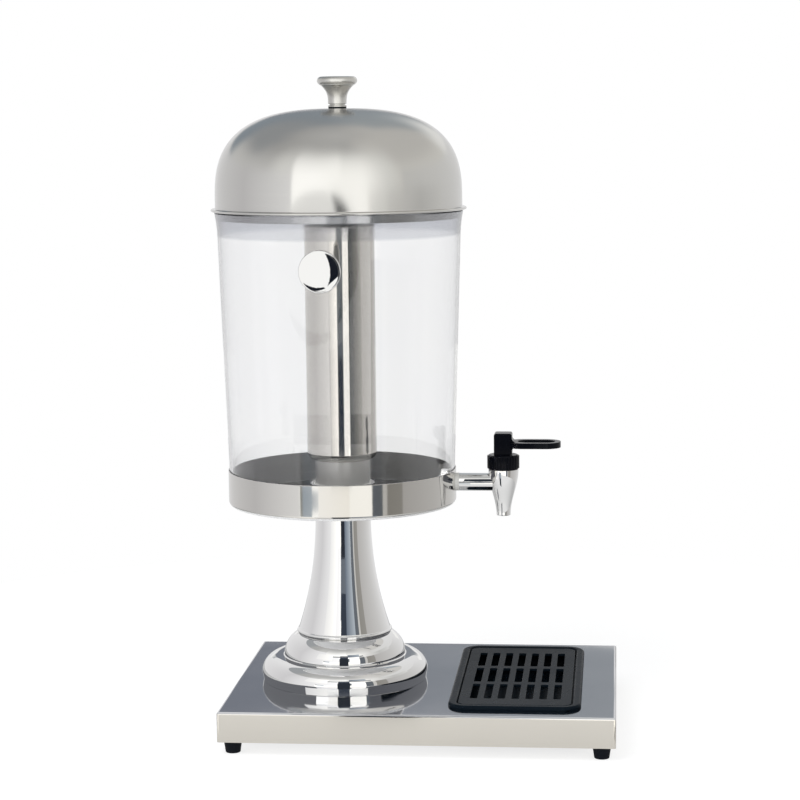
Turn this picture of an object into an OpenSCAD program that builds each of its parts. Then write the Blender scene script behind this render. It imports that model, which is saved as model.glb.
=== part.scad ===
// Juice dispenser: a clear tank with an ice tube and a domed lid, on a pedestal beside a drip tray.
// Lengths are in millimetres. +X is the tap's side, -Y the front and +Z up. The feet stand on z = 0.

/* [Base] */
// Width of the base, along X
base_w = 350; // [330:1:420]
// Depth of the base, along Y
base_d = 270; // [255:1:320]
// Height of the folded side walls
base_h = 27; // [25:0.5:40]
// Thickness of the folded sheet
base_sheet = 1; // [0.8:0.1:1.5]
// Outer radius of the bends
base_bend_r = 2.2; // [1.8:0.1:3]
// Width of the flange folded in under the walls
base_return = 24; // [22:0.5:28]

/* [Feet] */
// Height of a foot
foot_h = 11.5; // [8:0.5:16]
// Radius of a foot where it meets the base
foot_top_r = 8.3; // [7.5:0.1:9]
// Radius of a foot where it stands
foot_bottom_r = 6.6; // [5.5:0.1:7.4]
// Distance of a foot's axis from the base's sides
foot_inset = 12.4; // [11:0.1:13]
// Radius of the foot screws
foot_screw_r = 2; // [1.5:0.1:2.5]
// Depth of the recess for a foot screw's head
foot_recess = 4.6; // [4:0.1:6]

/* [Drip tray] */
// Width of the tray over its rim
tray_w = 117.5; // [105:0.5:125]
// Depth of the tray over its rim
tray_d = 229; // [215:0.5:240]
// Corner radius of the rim
tray_corner_r = 17; // [15:0.5:20]
// Width of the rim
tray_rim_w = 7.75; // [7:0.25:9]
// Height of the rim above the base
tray_rim_h = 3.6; // [3:0.1:5]
// Thickness of the tray's walls and floor
tray_wall = 1.8; // [1.5:0.1:2.4]
// Depth of the tray under the top of the base
tray_depth = 19.5; // [14:0.5:24]
// Width of the ledge that carries the grille
tray_ledge = 4; // [3:0.25:5]
// Distance from the rim to the base's right edge
tray_margin = 30.8; // [28:0.2:40]
// Play of the tray in its cut-out
tray_play = 0.8; // [0.5:0.1:1.2]

/* [Drip grille] */
// Thickness of the grille plate
grille_t = 2.6; // [2:0.1:3]
// Gap between the grille and the rim
grille_gap = 0.8; // [0.5:0.1:1.5]
// How far the grille lies below the top of the rim
grille_sink = 0.6; // [0.3:0.1:1]
// Height of the lip under the grille's edge
grille_lip = 2.2; // [1.5:0.1:3]
// Slots in a row
slot_columns = 7; // [5:1:7]
// Rows of slots
slot_rows = 3; // [2:1:3]
// Width of a slot
slot_w = 6.6; // [5:0.1:7.5]
// Length of a slot
slot_l = 50; // [40:0.5:54]
// Distance between slots in a row
slot_pitch_x = 12.4; // [10:0.1:13]
// Distance between rows
slot_pitch_y = 59.3; // [56:0.1:62]
// Corner radius of a slot
slot_r = 1.6; // [1:0.1:2.4]

/* [Pedestal foot] */
// Distance of the pedestal's axis from the base's left edge
axis_inset = 98.2; // [90:0.2:104]
// Largest radius of the foot, at the top of its hem
hem_r = 77; // [72:0.5:82]
// How far the hem draws in towards the base
hem_draw = 1.2; // [0.6:0.1:2]
// Height of the hem
hem_h = 7.5; // [5:0.5:10]
// Radius of the rounded shoulder above the hem
shoulder_r = 15; // [12:0.5:17]
// Largest radius of the upper tier
tier_r = 56.3; // [52:0.1:58]
// Radius of the upper tier's bulge
tier_bulge_r = 22.5; // [21:0.5:26]
// Height of the foot
pedestal_foot_h = 44; // [42:0.5:45]
// Wall of the foot and the column
pedestal_wall = 2.5; // [1.5:0.1:4]

/* [Pedestal column] */
// Height of the column
column_h = 121.2; // [90:0.2:160]
// Radius at the top of the column
column_top_r = 25.5; // [20:0.5:32]
// Radius at the bottom of the column
column_bottom_r = 43.6; // [41:0.1:48]
// Length of the straight neck at the top
column_neck = 12; // [5:0.5:25]
// Height of the bead round the bottom
column_bead = 3.6; // [2.4:0.2:5]
// Thickness of the column's closed top
column_cap = 4; // [3:0.5:8]
// Radius of the tie rod
rod_r = 5; // [4:0.5:6]

/* [Pan] */
// Outer radius of the pan
pan_r = 104.9; // [98:0.1:108]
// Height of the pan
pan_h = 31.9; // [30:0.1:40]
// Thickness of the pan's sheet
pan_sheet = 0.8; // [0.6:0.1:1.2]
// Outer radius of the pan's bottom corner
pan_corner_r = 4; // [2:0.5:6]

/* [Tank] */
// Height of the tank
tank_h = 266.2; // [220:0.2:300]
// Outer radius just under the flared lip
tank_top_r = 110.6; // [109:0.1:111]
// Thickness of the tank's wall
tank_wall = 2.8; // [2.2:0.1:3.4]
// Thickness of the tank's floor
tank_floor = 3; // [2.5:0.1:3.2]
// Gap between the tank and the pan's rim
tank_play = 0.35; // [0.3:0.05:0.8]
// Height of the flared lip
lip_h = 22; // [16:0.5:30]
// How far the lip flares out of the wall's line
lip_flare = 2; // [1:0.1:3]
// Height of the pad under the tank
pad_h = 1.5; // [1:0.1:2]
// Radius of the raised middle of the floor
rise_r = 37; // [35:0.5:42]
// Height of the raised middle of the floor
rise_h = 7; // [6:0.2:9]

/* [Ice tube] */
// Outer radius of the tube
tube_r = 32; // [30:0.1:36]
// Thickness of the tube's sheet
tube_sheet = 0.8; // [0.6:0.1:1.2]
// Outer radius of the tube's neck
tube_neck_r = 25; // [22:0.1:26]
// Height of the neck, up to the shoulder
tube_neck_h = 28; // [15:0.5:40]
// Distance from the tube's top to the tank's rim
tube_drop = 13; // [8:0.5:30]
// Thickness of the silicone sleeve in the socket
seal_t = 2; // [1.5:0.1:2.5]
// Height of the socket in the tank's floor
socket_h = 6; // [4:0.5:10]

/* [Lid] */
// Outer radius of the dome
dome_r = 112.3; // [112:0.1:113.5]
// Height of the dome above its straight wall
dome_h = 83.2; // [60:0.2:110]
// Fullness of the dome's curve: 2 is an ellipse
dome_power = 2.8; // [2:0.1:3.5]
// Height of the straight wall under the dome
dome_wall_h = 8.5; // [5:0.5:20]
// Thickness of the lid's sheet
lid_sheet = 0.8; // [0.6:0.1:1.2]
// Outer radius of the rolled rim
lid_rim_r = 116.3; // [115.5:0.1:118]
// Thickness of the rolled rim
lid_bead = 2.4; // [2:0.1:4]
// Height of the skirt inside the tank's mouth
skirt_h = 7; // [5:0.5:14]
// Gap between the skirt and the tank
skirt_play = 0.7; // [0.4:0.1:1.5]
// Gap under the lid's rim
lid_seat = 0.3; // [0.2:0.05:0.5]

/* [Knob] */
// Radius of the knob's cap
knob_r = 18.2; // [16:0.1:20]
// Height of the knob
knob_h = 27.3; // [24:0.1:34]
// Height of the knob's cap
knob_cap_h = 7.4; // [6:0.1:9]
// Radius of the knob's neck
knob_neck_r = 8.4; // [7:0.1:10]
// Radius of the washer under the knob
knob_washer_r = 8.2; // [6:0.2:16]
// Thickness of the washer under the knob
knob_washer_t = 1.2; // [0.8:0.1:2]
// Radius of the knob's screw
knob_screw_r = 2.4; // [2:0.1:3]

/* [Badge] */
// Radius of the blank disc on the tank
badge_r = 18.7; // [14:0.1:22]
// Height of the disc's bulge above its rim
badge_bulge = 4; // [2:0.1:6]
// Thickness of the disc's rim
badge_rim_t = 2.2; // [1.5:0.1:3]
// Distance from the disc's centre down from the tank's rim
badge_drop = 48.1; // [40:0.1:80]
// Turn of the disc about the tank, from the front
badge_turn = -1.9; // [-30:0.1:30]
// Least thickness of the pad behind the disc
badge_pad_t = 1; // [0.6:0.1:2]

/* [Tap] */
// Distance from the pedestal's axis to the tap's axis
tap_reach = 148.5; // [144:0.5:160]
// Distance from the pan's rim down to the shank's axis
shank_drop = 12.7; // [11:0.1:14]
// Radius of the shank outside the pan
shank_r = 8.2; // [7.4:0.1:9]
// Radius of the shank's thread
shank_thread_r = 6; // [5.5:0.1:6.4]
// Radius of the passage through the shank
shank_bore_r = 4; // [3:0.1:4.4]
// Radius of the tap's body at its top
body_r = 14; // [13.6:0.1:14.4]
// Height of the tap's body
body_h = 43.2; // [40:0.2:50]
// Height of the body above the shank's axis
body_rise = 12.5; // [11.5:0.1:14]
// Radius of the spout's end
spout_r = 6.5; // [6:0.1:7.5]
// Radius of the outlet
outlet_r = 4.2; // [3:0.1:4.6]
// Radius of the valve chamber
chamber_r = 9; // [8.6:0.1:9.4]
// Distance from the shank's axis down to the valve's seat
seat_drop = 6.9; // [6:0.1:7.5]
// Thickness of the gasket outside the pan
outer_gasket_t = 3; // [2:0.1:4]
// Thickness of the gasket inside the tank
inner_gasket_t = 3.4; // [3:0.1:5]
// Size of the shank nut across its flats
shank_nut_af = 22; // [20:0.5:22]
// Thickness of the shank nut
shank_nut_t = 6; // [4:0.5:8]
// Radius of the fluted collar
bonnet_r = 14.7; // [14.6:0.1:16]
// Height of the fluted collar
bonnet_h = 13; // [12:0.1:16]
// Thickness of the collar's top
bonnet_top_t = 5.4; // [4:0.1:6]
// Flutes round the collar
flute_count = 32; // [20:1:40]
// Radius of the stem
stem_r = 3; // [2.8:0.1:3.2]
// Radius of the wire of the spring
wire_r = 0.6; // [0.4:0.05:0.7]
// Turns of the spring
spring_turns = 6; // [4:1:7]

/* [Lever] */
// Distance from the tap's axis to the lever's end
lever_l = 52.6; // [45:0.1:60]
// Height of the lever's post above the collar
post_h = 20.1; // [18:0.1:26]
// Distance from the tap's axis to the post's back
post_back = 8.2; // [7:0.1:9]
// Width of the post, along Y
post_w = 15; // [13:0.5:17]
// Width of the finger loop
loop_w = 28; // [24:0.5:34]
// Width of the bar round the loop
loop_bar = 5; // [4:0.1:6]
// Thickness of the loop
loop_t = 5.3; // [4:0.1:6]
// Height of the loop above the collar
loop_rise = 6.9; // [6.6:0.1:9]
// Lift of the stem for each radian of the lever, the cam's base radius
cam_r = 4; // [3.5:0.1:4.2]
// Height of the lever's pin above the cam's flat
cam_rest = 7.5; // [7:0.1:8.5]
// Turn of the lever at full opening
lever_turn = 30; // [20:1:30]
// Radius of the lever's pin
pin_r = 1.25; // [1:0.05:1.4]
// Plastic left in front of the pin's blind hole
pin_skin = 1.2; // [0.8:0.1:2]

/* [Hidden] */
$fn = 96;

// Small fits used all over
fit = 0.05;
screw_play = 0.3;
cut = 1;

// Across the object: the lid overhangs the base's left edge, and the whole is centred on x = 0
overhang = max(lid_rim_r - axis_inset, 0);
base_left = overhang - (base_w + overhang) / 2;
base_x = base_left + base_w / 2;
axis_x = base_left + axis_inset;
tap_x = axis_x + tap_reach;
tray_x = base_left + base_w - tray_margin - tray_w / 2;

// Up the object
plate_z = foot_h + base_h;
column_z = plate_z + pedestal_foot_h;
pan_z = column_z + column_h;
pan_rim_z = pan_z + pan_h;
tank_z = pan_z + pan_sheet + pad_h;
tank_rim_z = tank_z + tank_h;
lip_z = tank_rim_z - lip_h;
floor_z = tank_z + tank_floor;
lid_z = tank_rim_z + lid_seat;
dome_z = lid_z + dome_wall_h;
dome_top_z = dome_z + dome_h;
knob_z = dome_top_z + knob_washer_t;
shank_z = pan_rim_z - shank_drop;
body_z = shank_z + body_rise;
seat_z = shank_z - seat_drop;
bonnet_z = body_z + bonnet_h;
chamber_top_z = bonnet_z - bonnet_top_t;
cam_gap = 0.15;
pivot_z = bonnet_z + cam_gap + cam_rest;

// Fasteners
foot_head_r = foot_screw_r * 1.7;
foot_head_h = foot_screw_r * 1.3;
foot_nut_af = foot_screw_r * 3.5;
foot_nut_h = foot_screw_r * 1.6;
rod_head_r = rod_r * 2.2;
rod_head_h = rod_r * 0.8;
rod_nut_af = rod_r * 3.2;
rod_nut_h = rod_r * 1.6;
top_washer_t = 1.5;
base_washer_t = 2;

// Places worked out from the sizes above
tray_seat = 0.1;
pocket_r = tray_corner_r - tray_rim_w;
pocket_w = tray_w - 2 * tray_rim_w;
pocket_d = tray_d - 2 * tray_rim_w;
grille_top = tray_rim_h - grille_sink;
ledge_z = grille_top - grille_t - grille_lip - tray_seat;
tank_fit_r = pan_r - pan_sheet - tank_play;
tank_taper = (tank_top_r - tank_fit_r) / (lip_z - pan_rim_z);
flare_run = column_h - column_neck;
flare_rise = column_bottom_r - column_top_r;
flare_r = (flare_run * flare_run + flare_rise * flare_rise) / (2 * flare_rise);
spigot_h = 3;
socket_r = tube_neck_r + seal_t + 2 * fit;
tube_foot_z = floor_z + rise_h + fit;
tube_top_z = tank_rim_z - tube_drop;
tube_shoulder_r = tube_r - tube_neck_r;
tube_shoulder_z = tube_foot_z + tube_neck_h + tube_shoulder_r;
skirt_r = tank_lip_r(tank_rim_z - skirt_h) - tank_wall - skirt_play;
gasket_r = shank_thread_r * 2;
wall_at_shank = tank_r(shank_z) - tank_wall;
nut_face = wall_at_shank - inner_gasket_t;
shank_end = nut_face - shank_nut_t - 2.5;
shoulder_x = pan_r + outer_gasket_t;
flange_z = seat_z + 5.5;
flange_t = 2;
tongue = stem_r - 0.5;
heel_end = heel(lever_turn);
badge_z = tank_rim_z - badge_drop;
badge_y = tank_r(badge_z + badge_r) + badge_pad_t;

// Outer radius of the tank's wall at a height, and of its lip
function tank_r(z) = tank_fit_r + (z - pan_rim_z) * tank_taper;
function tank_lip_r(z) = tank_r(z) + lip_flare * pow((z - lip_z) / lip_h, 2);
// Radius of the column above its foot
function column_r(h) = column_top_r + flare_r - sqrt(flare_r * flare_r - pow(flare_run - h, 2));
// Points on an arc, from angle a to angle b
function arc(c, r, a, b, n) = [for (i = [0:n]) let (t = a + (b - a) * i / n) c + r * [cos(t), sin(t)]];
// Quarter of a superellipse, from the side to the top
function crown(a, b, p, n) = [for (i = [0:n]) let (t = 90 * i / n)
    [a * pow(cos(t), 2 / p), b * pow(sin(t), 2 / p)]];
function upside_down(list) = [for (i = [len(list) - 1:-1:0]) list[i]];
// Involute heel of the lever: it lifts the pin by cam_r for each radian of turn
function heel(a) = let (reach = cam_rest + cam_r * a * PI / 180)
    [reach * sin(a) + cam_r * cos(a), cam_r * sin(a) - reach * cos(a)];

module at_axis(z) translate([axis_x, 0, z]) children();
module at_tap(z) translate([tap_x, 0, z]) children();
module along_x(z) translate([axis_x, 0, z]) rotate([0, 90, 0]) children();
module rounded_rect(w, d, r) {
    square([w - 2 * r, d], center = true);
    square([w, d - 2 * r], center = true);
    for (x = [-1, 1], y = [-1, 1]) translate([x * (w / 2 - r), y * (d / 2 - r)]) circle(r);
}
// A bar standing on y = 0 whose top corners are rounded
module arched_bar(w, h, r) {
    intersection() {
        translate([-w / 2, 0]) square([w, h]);
        union() {
            translate([-w / 2, 0]) square([w, h - r]);
            translate([r - w / 2, 0]) square([w - 2 * r, h]);
            for (x = [-1, 1]) translate([x * (w / 2 - r), h - r]) circle(r);
        }
    }
}
// Half outline of a dish with a rounded bottom corner
module dish_half(r, h, corner) {
    square([r - corner, h]);
    translate([0, corner]) square([r, h - corner]);
    translate([r - corner, corner]) circle(corner);
}
// Sweeps an outline round a rectangle: its x runs outwards from the centres of the corner radii
module around(w, d, r) {
    x = w / 2 - r;
    y = d / 2 - r;
    for (i = [0:3])
        translate([(i == 0 || i == 3 ? x : -x), (i < 2 ? y : -y), 0])
            rotate(90 * i) rotate_extrude(angle = 90) children();
    for (m = [0, 1]) {
        mirror([m, 0, 0]) translate([x, y, 0]) rotate([90, 0, 0]) linear_extrude(2 * y) children();
        mirror([0, m, 0]) translate([-x, y, 0]) rotate([90, 0, 90]) linear_extrude(2 * x) children();
    }
}
module hex_nut(af, h, bore_r) {
    difference() {
        cylinder(r = af / 2 / cos(30), h = h, $fn = 6);
        translate([0, 0, -cut]) cylinder(r = bore_r, h = h + 2 * cut);
    }
}
module at_feet() {
    for (x = [-1, 1], y = [-1, 1])
        translate([base_x + x * (base_w / 2 - foot_inset), y * (base_d / 2 - foot_inset), 0]) children();
}
// Box of sheet with rounded upright and top edges
module folded_box(w, d, h, r) {
    intersection() {
        linear_extrude(h) rounded_rect(w, d, r);
        translate([0, d, 0]) rotate([90, 0, 0]) linear_extrude(2 * d) arched_bar(w, h, r);
        translate([-w, 0, 0]) rotate([90, 0, 90]) linear_extrude(2 * w) arched_bar(d, h, r);
    }
}

// Folded box, open below, with a return flange for the feet
module base_shell() {
    t = base_sheet;
    color("gainsboro") translate([base_x, 0, foot_h]) difference() {
        union() {
            difference() {
                folded_box(base_w, base_d, base_h, base_bend_r);
                translate([0, 0, -cut])
                    folded_box(base_w - 2 * t, base_d - 2 * t, base_h - t + cut, base_bend_r - t);
            }
            linear_extrude(t) difference() {
                rounded_rect(base_w - t, base_d - t, base_bend_r - t / 2);
                square([base_w - 2 * base_return, base_d - 2 * base_return], center = true);
            }
        }
        translate([tray_x - base_x, 0, t + cut]) linear_extrude(base_h)
            rounded_rect(pocket_w + 2 * (tray_wall + tray_play), pocket_d + 2 * (tray_wall + tray_play),
                         pocket_r + tray_wall + tray_play);
        translate([axis_x - base_x, 0, t + cut]) cylinder(r = rod_r + screw_play, h = base_h);
        translate([-base_x, 0, -cut]) at_feet() cylinder(r = foot_screw_r + screw_play, h = t + 2 * cut);
    }
}

module rubber_feet() {
    color("dimgray") at_feet() difference() {
        cylinder(r1 = foot_bottom_r, r2 = foot_top_r, h = foot_h);
        translate([0, 0, -cut]) cylinder(r = foot_screw_r + screw_play, h = foot_h + 2 * cut);
        translate([0, 0, -cut]) cylinder(r = foot_head_r + screw_play, h = foot_recess + cut);
    }
}

module foot_screws() {
    color("silver") at_feet() {
        translate([0, 0, foot_recess - foot_head_h]) cylinder(r = foot_head_r, h = foot_head_h);
        translate([0, 0, foot_recess - fit])
            cylinder(r = foot_screw_r, h = foot_h - foot_recess + base_sheet + foot_nut_h + 1);
    }
}

module foot_nuts() {
    color("silver") at_feet() translate([0, 0, foot_h + base_sheet])
        hex_nut(foot_nut_af, foot_nut_h, foot_screw_r + fit);
}

// Tray section: rolled rim, pocket wall, ledge for the grille and lower wall
module tray_section() {
    low_r = pocket_r - tray_ledge;
    translate([pocket_r + tray_rim_w / 2, tray_seat]) arched_bar(tray_rim_w, tray_rim_h - tray_seat, 2.4);
    polygon([
        [pocket_r, tray_rim_h / 2], [pocket_r + tray_wall, tray_rim_h / 2],
        [pocket_r + tray_wall, ledge_z - tray_wall], [low_r + tray_wall, ledge_z - tray_wall],
        [low_r + tray_wall, -tray_depth], [low_r, -tray_depth], [low_r, ledge_z], [pocket_r, ledge_z]
    ]);
}

module drip_tray() {
    inset = tray_ledge - tray_wall;
    color("dimgray") translate([tray_x, 0, plate_z]) {
        around(tray_w, tray_d, tray_corner_r) tray_section();
        translate([0, 0, -tray_depth]) linear_extrude(tray_wall)
            rounded_rect(pocket_w - 2 * inset, pocket_d - 2 * inset, pocket_r - inset);
    }
}

module drip_grille() {
    w = pocket_w - 2 * grille_gap;
    d = pocket_d - 2 * grille_gap;
    r = pocket_r - grille_gap;
    color("slategray") translate([tray_x, 0, plate_z + grille_top - grille_t]) {
        linear_extrude(grille_t) difference() {
            rounded_rect(w, d, r);
            for (i = [0:slot_columns - 1], j = [0:slot_rows - 1])
                translate([(i - (slot_columns - 1) / 2) * slot_pitch_x, 0])
                    translate([0, (j - (slot_rows - 1) / 2) * slot_pitch_y])
                        rounded_rect(slot_w, slot_l, slot_r);
        }
        translate([0, 0, -grille_lip]) linear_extrude(grille_lip) difference() {
            rounded_rect(w, d, r);
            rounded_rect(w - 2 * tray_wall, d - 2 * tray_wall, r - tray_wall);
        }
    }
}

// Half outline of the two-tier foot, drawn in by a wall's thickness for its hollow
module foot_half(inset) {
    intersection() {
        square([hem_r + cut, pedestal_foot_h - inset]);
        union() {
            polygon([[0, 0], [hem_r - hem_draw - inset, 0], [hem_r - inset, hem_h], [0, hem_h]]);
            translate([hem_r - shoulder_r, hem_h]) circle(shoulder_r - inset);
            square([hem_r - shoulder_r, hem_h + shoulder_r - inset]);
            translate([tier_r - tier_bulge_r, hem_h + shoulder_r + 0.5]) circle(tier_bulge_r - inset);
            square([tier_r - tier_bulge_r, pedestal_foot_h - inset]);
        }
    }
}

module pedestal_foot() {
    ring_r = column_r(spigot_h) - pedestal_wall - screw_play;
    color("silver") at_axis(plate_z) rotate_extrude() difference() {
        union() {
            foot_half(0);
            translate([0, pedestal_foot_h - fit]) square([ring_r, spigot_h]);
        }
        translate([0, -fit]) foot_half(pedestal_wall);
        square([rod_r + screw_play, pedestal_foot_h + spigot_h + cut]);
        translate([0, pedestal_foot_h]) square([ring_r - pedestal_wall, spigot_h + cut]);
    }
}

// Half outline of the trumpet: a straight neck over one long arc
module trumpet_half(inset, top) {
    difference() {
        square([column_bottom_r - inset, column_h - top]);
        translate([column_top_r + flare_r, flare_run]) circle(flare_r + inset, $fn = 360);
        translate([column_top_r - inset, flare_run]) square([column_bottom_r, column_neck + cut]);
    }
}

module pedestal_column() {
    color("silver") at_axis(column_z) rotate_extrude() difference() {
        union() {
            trumpet_half(0, 0);
            translate([column_bottom_r - column_bead * 0.4, column_bead / 2]) circle(column_bead / 2);
        }
        translate([0, -fit]) trumpet_half(pedestal_wall, column_cap);
        square([rod_r + screw_play, column_h + cut]);
    }
}

module tie_rod() {
    end_z = plate_z - base_sheet - base_washer_t - rod_nut_h - 3;
    head_z = pan_z + pan_sheet + top_washer_t;
    color("silver") at_axis(0) {
        translate([0, 0, end_z]) cylinder(r = rod_r, h = head_z - end_z + fit);
        translate([0, 0, head_z]) cylinder(r1 = rod_head_r, r2 = rod_head_r * 0.8, h = rod_head_h);
    }
}

module rod_washers() {
    color("gainsboro") at_axis(0) {
        translate([0, 0, pan_z + pan_sheet]) difference() {
            cylinder(r = rod_head_r + 3, h = top_washer_t);
            translate([0, 0, -cut]) cylinder(r = rod_r + screw_play, h = top_washer_t + 2 * cut);
        }
        translate([0, 0, plate_z - base_sheet - base_washer_t]) difference() {
            cylinder(r = rod_nut_af, h = base_washer_t);
            translate([0, 0, -cut]) cylinder(r = rod_r + screw_play, h = base_washer_t + 2 * cut);
        }
    }
}

module rod_nut() {
    color("silver") at_axis(plate_z - base_sheet - base_washer_t - rod_nut_h)
        hex_nut(rod_nut_af, rod_nut_h, rod_r + fit);
}

module pan() {
    color("lightgray") difference() {
        at_axis(pan_z) rotate_extrude() difference() {
            dish_half(pan_r, pan_h, pan_corner_r);
            translate([0, pan_sheet]) dish_half(pan_r - pan_sheet, pan_h, pan_corner_r - pan_sheet);
            square([rod_r + screw_play, pan_h]);
        }
        along_x(shank_z) cylinder(r = shank_thread_r + screw_play, h = 2 * pan_r);
    }
}

module tank_pad() {
    color("darkgray") at_axis(pan_z + pan_sheet) rotate_extrude()
        translate([rise_r + rise_h + 6, 0]) square([pan_r - pan_corner_r - rise_r - rise_h - 10, pad_h]);
}

// Tapered wall with a flared lip and a rounded foot
module tank() {
    corner = tank_wall * 0.7;
    lip = [for (i = [1:6]) lip_z + lip_h * i / 6];
    outside = concat(
        arc([tank_r(tank_z + corner) - corner, tank_z + corner], corner, -90, 0, 5),
        [[tank_r(lip_z), lip_z]], [for (z = lip) [tank_lip_r(z), z]]);
    inside = concat(
        [[tank_r(tank_z) - tank_wall, tank_z], [tank_r(lip_z) - tank_wall, lip_z]],
        [for (z = lip) [tank_lip_r(z) - tank_wall, z]]);
    color("lightcyan", 0.4) difference() {
        at_axis(0) rotate_extrude() polygon(concat(outside, upside_down(inside)));
        along_x(shank_z) cylinder(r = shank_thread_r + screw_play, h = 2 * pan_r);
    }
}

// Floor welded into the foot of the wall, raised in the middle over the tie rod's head
module tank_bottom() {
    edge_r = tank_r(tank_z) - tank_wall - fit;
    mid_z = tank_z + rise_h;
    outside = [[0, mid_z], [rise_r, mid_z], [rise_r + rise_h / 2, tank_z], [edge_r, tank_z]];
    inside = [[0, mid_z + tank_floor], [rise_r + tank_floor / 2, mid_z + tank_floor],
              [rise_r + (rise_h + tank_floor) / 2, floor_z], [edge_r, floor_z]];
    color("lightcyan", 0.4) at_axis(0) rotate_extrude() polygon(concat(outside, upside_down(inside)));
}

// Ring welded on the floor, which holds the foot of the ice tube and its seal
module tube_socket() {
    color("lightcyan", 0.4) at_axis(tank_z + rise_h + tank_floor) rotate_extrude()
        translate([socket_r, fit]) square([tank_wall, socket_h - fit]);
}

// Everything inside the tank's outer wall, for what has to follow its taper
module tank_core(inset) {
    at_axis(0) rotate_extrude($fn = 720) polygon([
        [0, tank_z], [tank_r(tank_z) - inset, tank_z], [tank_r(lip_z) - inset, lip_z], [0, lip_z]
    ]);
}

module at_badge() {
    at_axis(badge_z) rotate(badge_turn) translate([0, -badge_y, 0]) rotate([90, 0, 0]) children();
}

// Blank disc: a rounded rim round a shallow bulge
module tank_badge() {
    field_r = badge_r - badge_rim_t / 2;
    bulge_r = (field_r * field_r + badge_bulge * badge_bulge) / (2 * badge_bulge);
    color("silver") at_badge() rotate_extrude() intersection() {
        square([badge_r, badge_rim_t + badge_bulge]);
        union() {
            square([field_r, badge_rim_t]);
            translate([field_r, badge_rim_t / 2]) circle(badge_rim_t / 2);
            translate([0, badge_rim_t + badge_bulge - bulge_r]) intersection() {
                circle(bulge_r, $fn = 180);
                translate([0, bulge_r - badge_bulge - fit]) square([field_r, badge_bulge + cut]);
            }
        }
    }
}

module badge_pad() {
    color("whitesmoke") difference() {
        at_badge() translate([0, 0, -badge_r]) cylinder(r = badge_r - 2 * badge_rim_t, h = badge_r);
        tank_core(-screw_play / 2);
    }
}

// Tube with a closed, narrower neck and a rolled top
module ice_tube() {
    r = tube_shoulder_r;
    outside = concat([[0, tube_foot_z], [tube_neck_r, tube_foot_z]],
        arc([tube_neck_r, tube_shoulder_z], r, -90, 0, 8), [[tube_r, tube_top_z]]);
    bore_r = tube_neck_r - tube_sheet;
    inside = concat([[0, tube_foot_z + tube_sheet], [bore_r, tube_foot_z + tube_sheet]],
        [[bore_r, tube_shoulder_z - r + tube_sheet]],
        arc([tube_neck_r, tube_shoulder_z], r - tube_sheet, -90, 0, 8), [[tube_r - tube_sheet, tube_top_z]]);
    color("silver") at_axis(0) rotate_extrude() {
        polygon(concat(outside, upside_down(inside)));
        translate([tube_r, tube_top_z - tube_sheet * 1.2]) circle(tube_sheet * 1.2);
    }
}

module tube_seal() {
    color("whitesmoke") at_axis(tube_foot_z) rotate_extrude()
        translate([tube_neck_r + fit, 0]) square([seal_t, socket_h]);
}

// Dome of superellipse section on a straight wall, with a rolled rim
module lid_dome() {
    shell = concat([[dome_r, lid_z]], [for (p = crown(dome_r, dome_h, dome_power, 28)) p + [0, dome_z]]);
    hollow = concat([[dome_r - lid_sheet, lid_z]],
        [for (p = crown(dome_r - lid_sheet, dome_h - lid_sheet, dome_power, 28)) p + [0, dome_z]]);
    color("gainsboro") at_axis(0) rotate_extrude() difference() {
        union() {
            polygon(concat(shell, upside_down(hollow)));
            translate([dome_r - lid_sheet, lid_z])
                square([lid_rim_r - dome_r + lid_sheet - lid_bead / 2, lid_bead]);
            translate([lid_rim_r - lid_bead / 2, lid_z + lid_bead / 2]) circle(lid_bead / 2);
        }
        square([knob_screw_r + screw_play, dome_top_z + cut]);
    }
}

module lid_skirt() {
    color("lightgray") at_axis(lid_z) rotate_extrude() {
        translate([skirt_r - lid_sheet, -skirt_h - lid_seat])
            square([lid_sheet, skirt_h + lid_seat + lid_sheet]);
        translate([skirt_r - lid_sheet, 0]) square([dome_r - skirt_r - fit, lid_sheet]);
    }
}

// Turned knob: base ring, groove, flared neck and rounded cap
module lid_knob() {
    cap_z = knob_h - knob_cap_h;
    flare_z = knob_neck_r * 0.36;
    cap_foot_r = knob_r - knob_cap_h * 0.36;
    color("silver") at_axis(knob_z) rotate_extrude() difference() {
        union() {
            polygon(concat(
                [[0, 0], [knob_neck_r, 0], [knob_neck_r, flare_z * 0.5], [knob_neck_r - 1.4, flare_z * 0.6],
                 [knob_neck_r - 1.4, flare_z * 0.85]],
                [for (i = [0:10]) [knob_neck_r + (cap_foot_r - knob_neck_r) * pow(i / 10, 3),
                                   flare_z + (cap_z - flare_z) * i / 10]],
                [[cap_foot_r + 0.8, cap_z], [cap_foot_r + 0.8, cap_z + 1], [0, cap_z + 1]]));
            translate([0, cap_z + 0.6]) square([knob_r - knob_cap_h / 2, knob_cap_h - 0.6]);
            intersection() {
                translate([knob_r - knob_cap_h / 2, cap_z + knob_cap_h / 2]) circle(knob_cap_h / 2);
                translate([0, cap_z + 0.6]) square([knob_r, knob_cap_h]);
            }
        }
        square([knob_screw_r + fit, cap_z]);
    }
}

module knob_washer() {
    bore_r = knob_screw_r + screw_play;
    color("dimgray") at_axis(dome_top_z) rotate_extrude()
        translate([bore_r, 0]) square([knob_washer_r - bore_r, knob_washer_t]);
}

module knob_screw() {
    head_r = knob_screw_r * 1.9;
    head_h = knob_screw_r * 1.2;
    color("silver") at_axis(dome_top_z - lid_sheet - 2 * fit - head_h) {
        cylinder(r = head_r, h = head_h);
        cylinder(r = knob_screw_r, h = head_h + lid_sheet + knob_washer_t + knob_h / 2);
    }
}

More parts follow.
